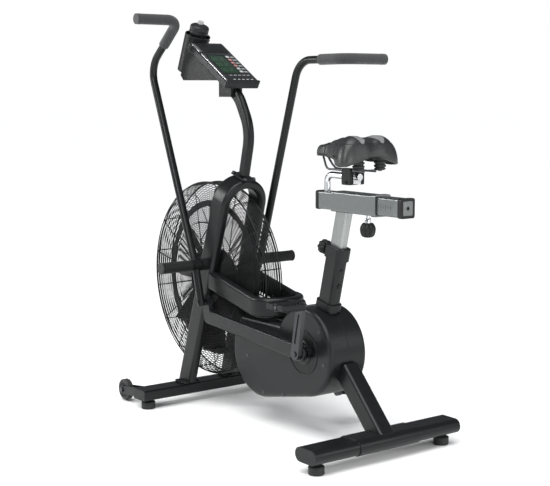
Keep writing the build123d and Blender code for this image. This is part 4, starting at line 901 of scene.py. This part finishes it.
def wheels():
    """Moulded wheel faces with spokes, and three raised tread rings."""
    for name, side in SIDES:
        at = Vector((WHEEL_X, side * WHEEL_Y, WHEEL_Z))
        tread, core = [], []
        for d in (-1, 1):
            out = Vector((0, d, 0))
            core.append(lathe_geo(at, out, [(0.0060, 0.0118), (0.0125, 0.0122), (0.0130, 0.0112),
                                            (0.0140, 0.0100), (0.0230, 0.0100), (0.0245, 0.0120),
                                            (0.0275, 0.0124), (0.0282, 0.0112)], 56))
            for i in range(6):
                a = math.radians(60 * i + 15)
                line = [at + out * 0.0104 + Vector((0.0125 * math.cos(a), 0, 0.0125 * math.sin(a))),
                        at + out * 0.0104 + Vector((0.0245 * math.cos(a), 0, 0.0245 * math.sin(a)))]
                core.append(tube_geo(line, 0.0021, 8))
        for d in (-0.006, 0.0, 0.006):
            tread.append(ring_geo(at + Y * d, Y, 0.0377, 0.0007, 72, 6))
        piece("wheel_face_" + name, merge(core), "wheel_" + name, TRIM)
        piece("wheel_tread_" + name, merge(tread), "wheel_" + name, TYRE)


def grip_ends():
    """Domed ends on the grips, and ribs with an end cap on the foot pegs."""
    for name, side in SIDES:
        low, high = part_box("handle_grip_" + name)
        obj = frame["nodes"]["handle_grip_" + name]
        end = high.y if side > 0 else low.y
        tip = [v.co for v in obj.data.vertices if abs(v.co.y - end) < 0.0008]
        centre = sum(tip, Vector()) / len(tip) - SHIFT
        out = Vector((0, side, 0))
        dome = lathe_geo(centre - out * 0.0190, out,
                         [(0.0186, 0.0), (0.0189, 0.002), (0.0188, 0.0110), (0.0178, 0.0150),
                          (0.0150, 0.0178), (0.0100, 0.0189), (0.0, 0.0190)], 48)
        piece("grip_end_" + name, dome, "handle_" + name, FOAM, 60)
    for name, side in SIDES:
        out = Vector((0, side, 0))
        first, pitch, count = 0.170, 0.0066, 17
        ribs = [ring_geo((PEG_X, side * (first + i * pitch), PEG_Z), Y, 0.0188, 0.0009, 56, 6)
                for i in range(count)]
        ribs.append(lathe_geo((PEG_X, side * 0.2830, PEG_Z), out,
                              [(0.0190, 0.0), (0.0205, 0.0012), (0.0205, 0.0042), (0.0190, 0.0052),
                               (0.0120, 0.0056), (0.0, 0.0052)], 48))
        piece("peg_ribs_" + name, merge(ribs), "frame", RUBBER)


# ---- Welds and painted hole shade -------------------------------------------

def weld_geo(points):
    """A fillet weld round a closed loop: an uneven bead of overlapping ripples."""
    bead, ripple = 0.0028, 0.0016
    fine = []
    for i in range(len(points)):
        a, b = points[i], points[(i + 1) % len(points)]
        steps = max(int((b - a).length / ripple), 1)
        for k in range(steps):
            fine.append(a + (b - a) * (k / steps))
    radii = [bead * (0.86 + 0.20 * abs(math.sin(i * 1.15)) + 0.08 * noise.noise(p * 60.0))
             for i, p in enumerate(fine)]
    return tube_geo(fine, radii, 7, closed=True)


def rounded_loop(centre, ux, uy, w, h, r):
    """Points round a rectangle of w by h with corners of radius r."""
    corner_steps = 5
    points = []
    for sx, sy, start in ((1, 1, 0), (-1, 1, 90), (-1, -1, 180), (1, -1, 270)):
        for i in range(corner_steps):
            t = math.radians(start + 90 * i / (corner_steps - 1))
            points.append(Vector(centre) + ux * (sx * (w / 2 - r) + math.cos(t) * r)
                          + uy * (sy * (h / 2 - r) + math.sin(t) * r))
    return points


def joints_and_holes():
    """Weld beads where the legs meet the front base, and dark discs painted as the shade in the holes down
    the seat tube's back.
    """
    welds, holes = [], []
    for side in (1, -1):
        welds.append(weld_geo(rounded_loop((LEG_X, side * LEG_Y, BASE_TOP), X, Y, 0.069, 0.067, 0.008)))
    piece("weld_beads", merge(welds), "frame", PAINT, 60)
    # dark discs on the tube's back face: painted shade standing in for the holes
    for down, r in ((0.034, 0.0052), (0.088, 0.0085)):
        at = SEAT_AXIS - POST_UP * down - POST_OUT * SEAT_BACK
        holes.append(lathe_geo(at, -POST_OUT, [(0.0, 0.0), (r, 0.0), (r * 1.06, 0.0004), (r, 0.0008),
                                               (r * 0.86, 0.0006), (r * 0.80, 0.0001), (0.0, 0.0001)], 32))
    piece("seat_tube_hole_shade", merge(holes), "frame", BELT)


# ---- Stage ------------------------------------------------------------------

CAMERA_AT = Vector((-3.299, 2.483, 1.143))
CAMERA_YAW, CAMERA_PITCH = math.radians(-37.28), math.radians(-7.0)
LIGHTS = (                                      # name, place, aim, watts, width, height
    ("key", (-1.6, 3.6, 2.8), (0, 0, 0.7), 75.0, 1.4, 1.0),
    ("fill", (-3.8, -2.4, 2.0), (0, 0, 0.6), 38.0, 1.0, 2.4),
    ("rim", (2.8, 2.4, 2.0), (0, 0, 0.7), 60.0, 1.0, 1.6),
    ("low", (-3.0, 0.4, 1.1), (0, 0, 0.5), 24.0, 0.6, 1.6),
)


def stage():
    """Pale floor, soft studio light and the camera."""
    scene = bpy.context.scene
    floor = Nodes("floor_pale")
    cloud = floor.noise(0.8, 3.0)
    tone = floor.mix(floor.span(cloud, 0.3, 0.7), (0.965, 0.965, 0.965), (0.985, 0.985, 0.985))
    floor.done(tone, floor.span(cloud, 0.3, 0.7, 0.72, 0.80), floor.bump(cloud, 0.0005, 0.1))
    size = 60.0
    mesh = bpy.data.meshes.new("floor")
    mesh.from_pydata([(-size, -size, 0), (size, -size, 0), (size, size, 0), (-size, size, 0)], [],
                     [(0, 1, 2, 3)])
    obj = bpy.data.objects.new("floor", mesh)
    scene.collection.objects.link(obj)
    mesh.materials.append(floor.mat)
    world = bpy.data.worlds.new("studio")
    scene.world = world
    world.use_nodes = True
    back = world.node_tree.nodes["Background"]
    back.inputs["Color"].default_value = (0.90, 0.95, 1.0, 1.0)
    back.inputs["Strength"].default_value = 0.16
    seen = world.node_tree.nodes.new("ShaderNodeBackground")
    seen.inputs["Color"].default_value = (1.0, 1.0, 1.0, 1.0)
    path = world.node_tree.nodes.new("ShaderNodeLightPath")
    mix = world.node_tree.nodes.new("ShaderNodeMixShader")
    links = world.node_tree.links
    links.new(path.outputs["Is Camera Ray"], mix.inputs[0])
    links.new(back.outputs[0], mix.inputs[1])
    links.new(seen.outputs[0], mix.inputs[2])
    links.new(mix.outputs[0], world.node_tree.nodes["World Output"].inputs["Surface"])
    sun = bpy.data.lights.new("overhead", "SUN")
    sun.energy, sun.angle = 3.25, math.radians(55)
    lamp = bpy.data.objects.new("overhead", sun)
    scene.collection.objects.link(lamp)
    lamp.rotation_euler = Vector((0.22, -0.30, -1.0)).to_track_quat("-Z", "Y").to_euler()
    for name, at, to, power, width, height in LIGHTS:
        light = bpy.data.lights.new(name, "AREA")
        light.shape = "RECTANGLE"
        light.size, light.size_y = width, height
        light.energy = power
        lamp = bpy.data.objects.new(name, light)
        scene.collection.objects.link(lamp)
        lamp.location = at
        lamp.rotation_euler = (Vector(to) - Vector(at)).to_track_quat("-Z", "Y").to_euler()
    camera = bpy.data.cameras.new("camera")
    camera.lens, camera.sensor_width = 79.72, 36.0
    camera.shift_x, camera.shift_y = -0.0133, -0.0067
    camera.clip_end = 60.0
    view = bpy.data.objects.new("camera", camera)
    scene.collection.objects.link(view)
    yaw, pitch = CAMERA_YAW, CAMERA_PITCH
    look = Vector((math.cos(pitch) * math.cos(yaw), math.cos(pitch) * math.sin(yaw), math.sin(pitch)))
    view.location = CAMERA_AT + SHIFT
    view.rotation_euler = look.to_track_quat("-Z", "Y").to_euler()
    scene.camera = view
    scene.view_settings.view_transform = "Standard"


stage()
dress_cad()
cage()
saddle()
saddle_gear()
knobs()
slider_marks()
console()
bottle()
drive_trim()
pedal_trim()
feet()
wheels()
grip_ends()
joints_and_holes()
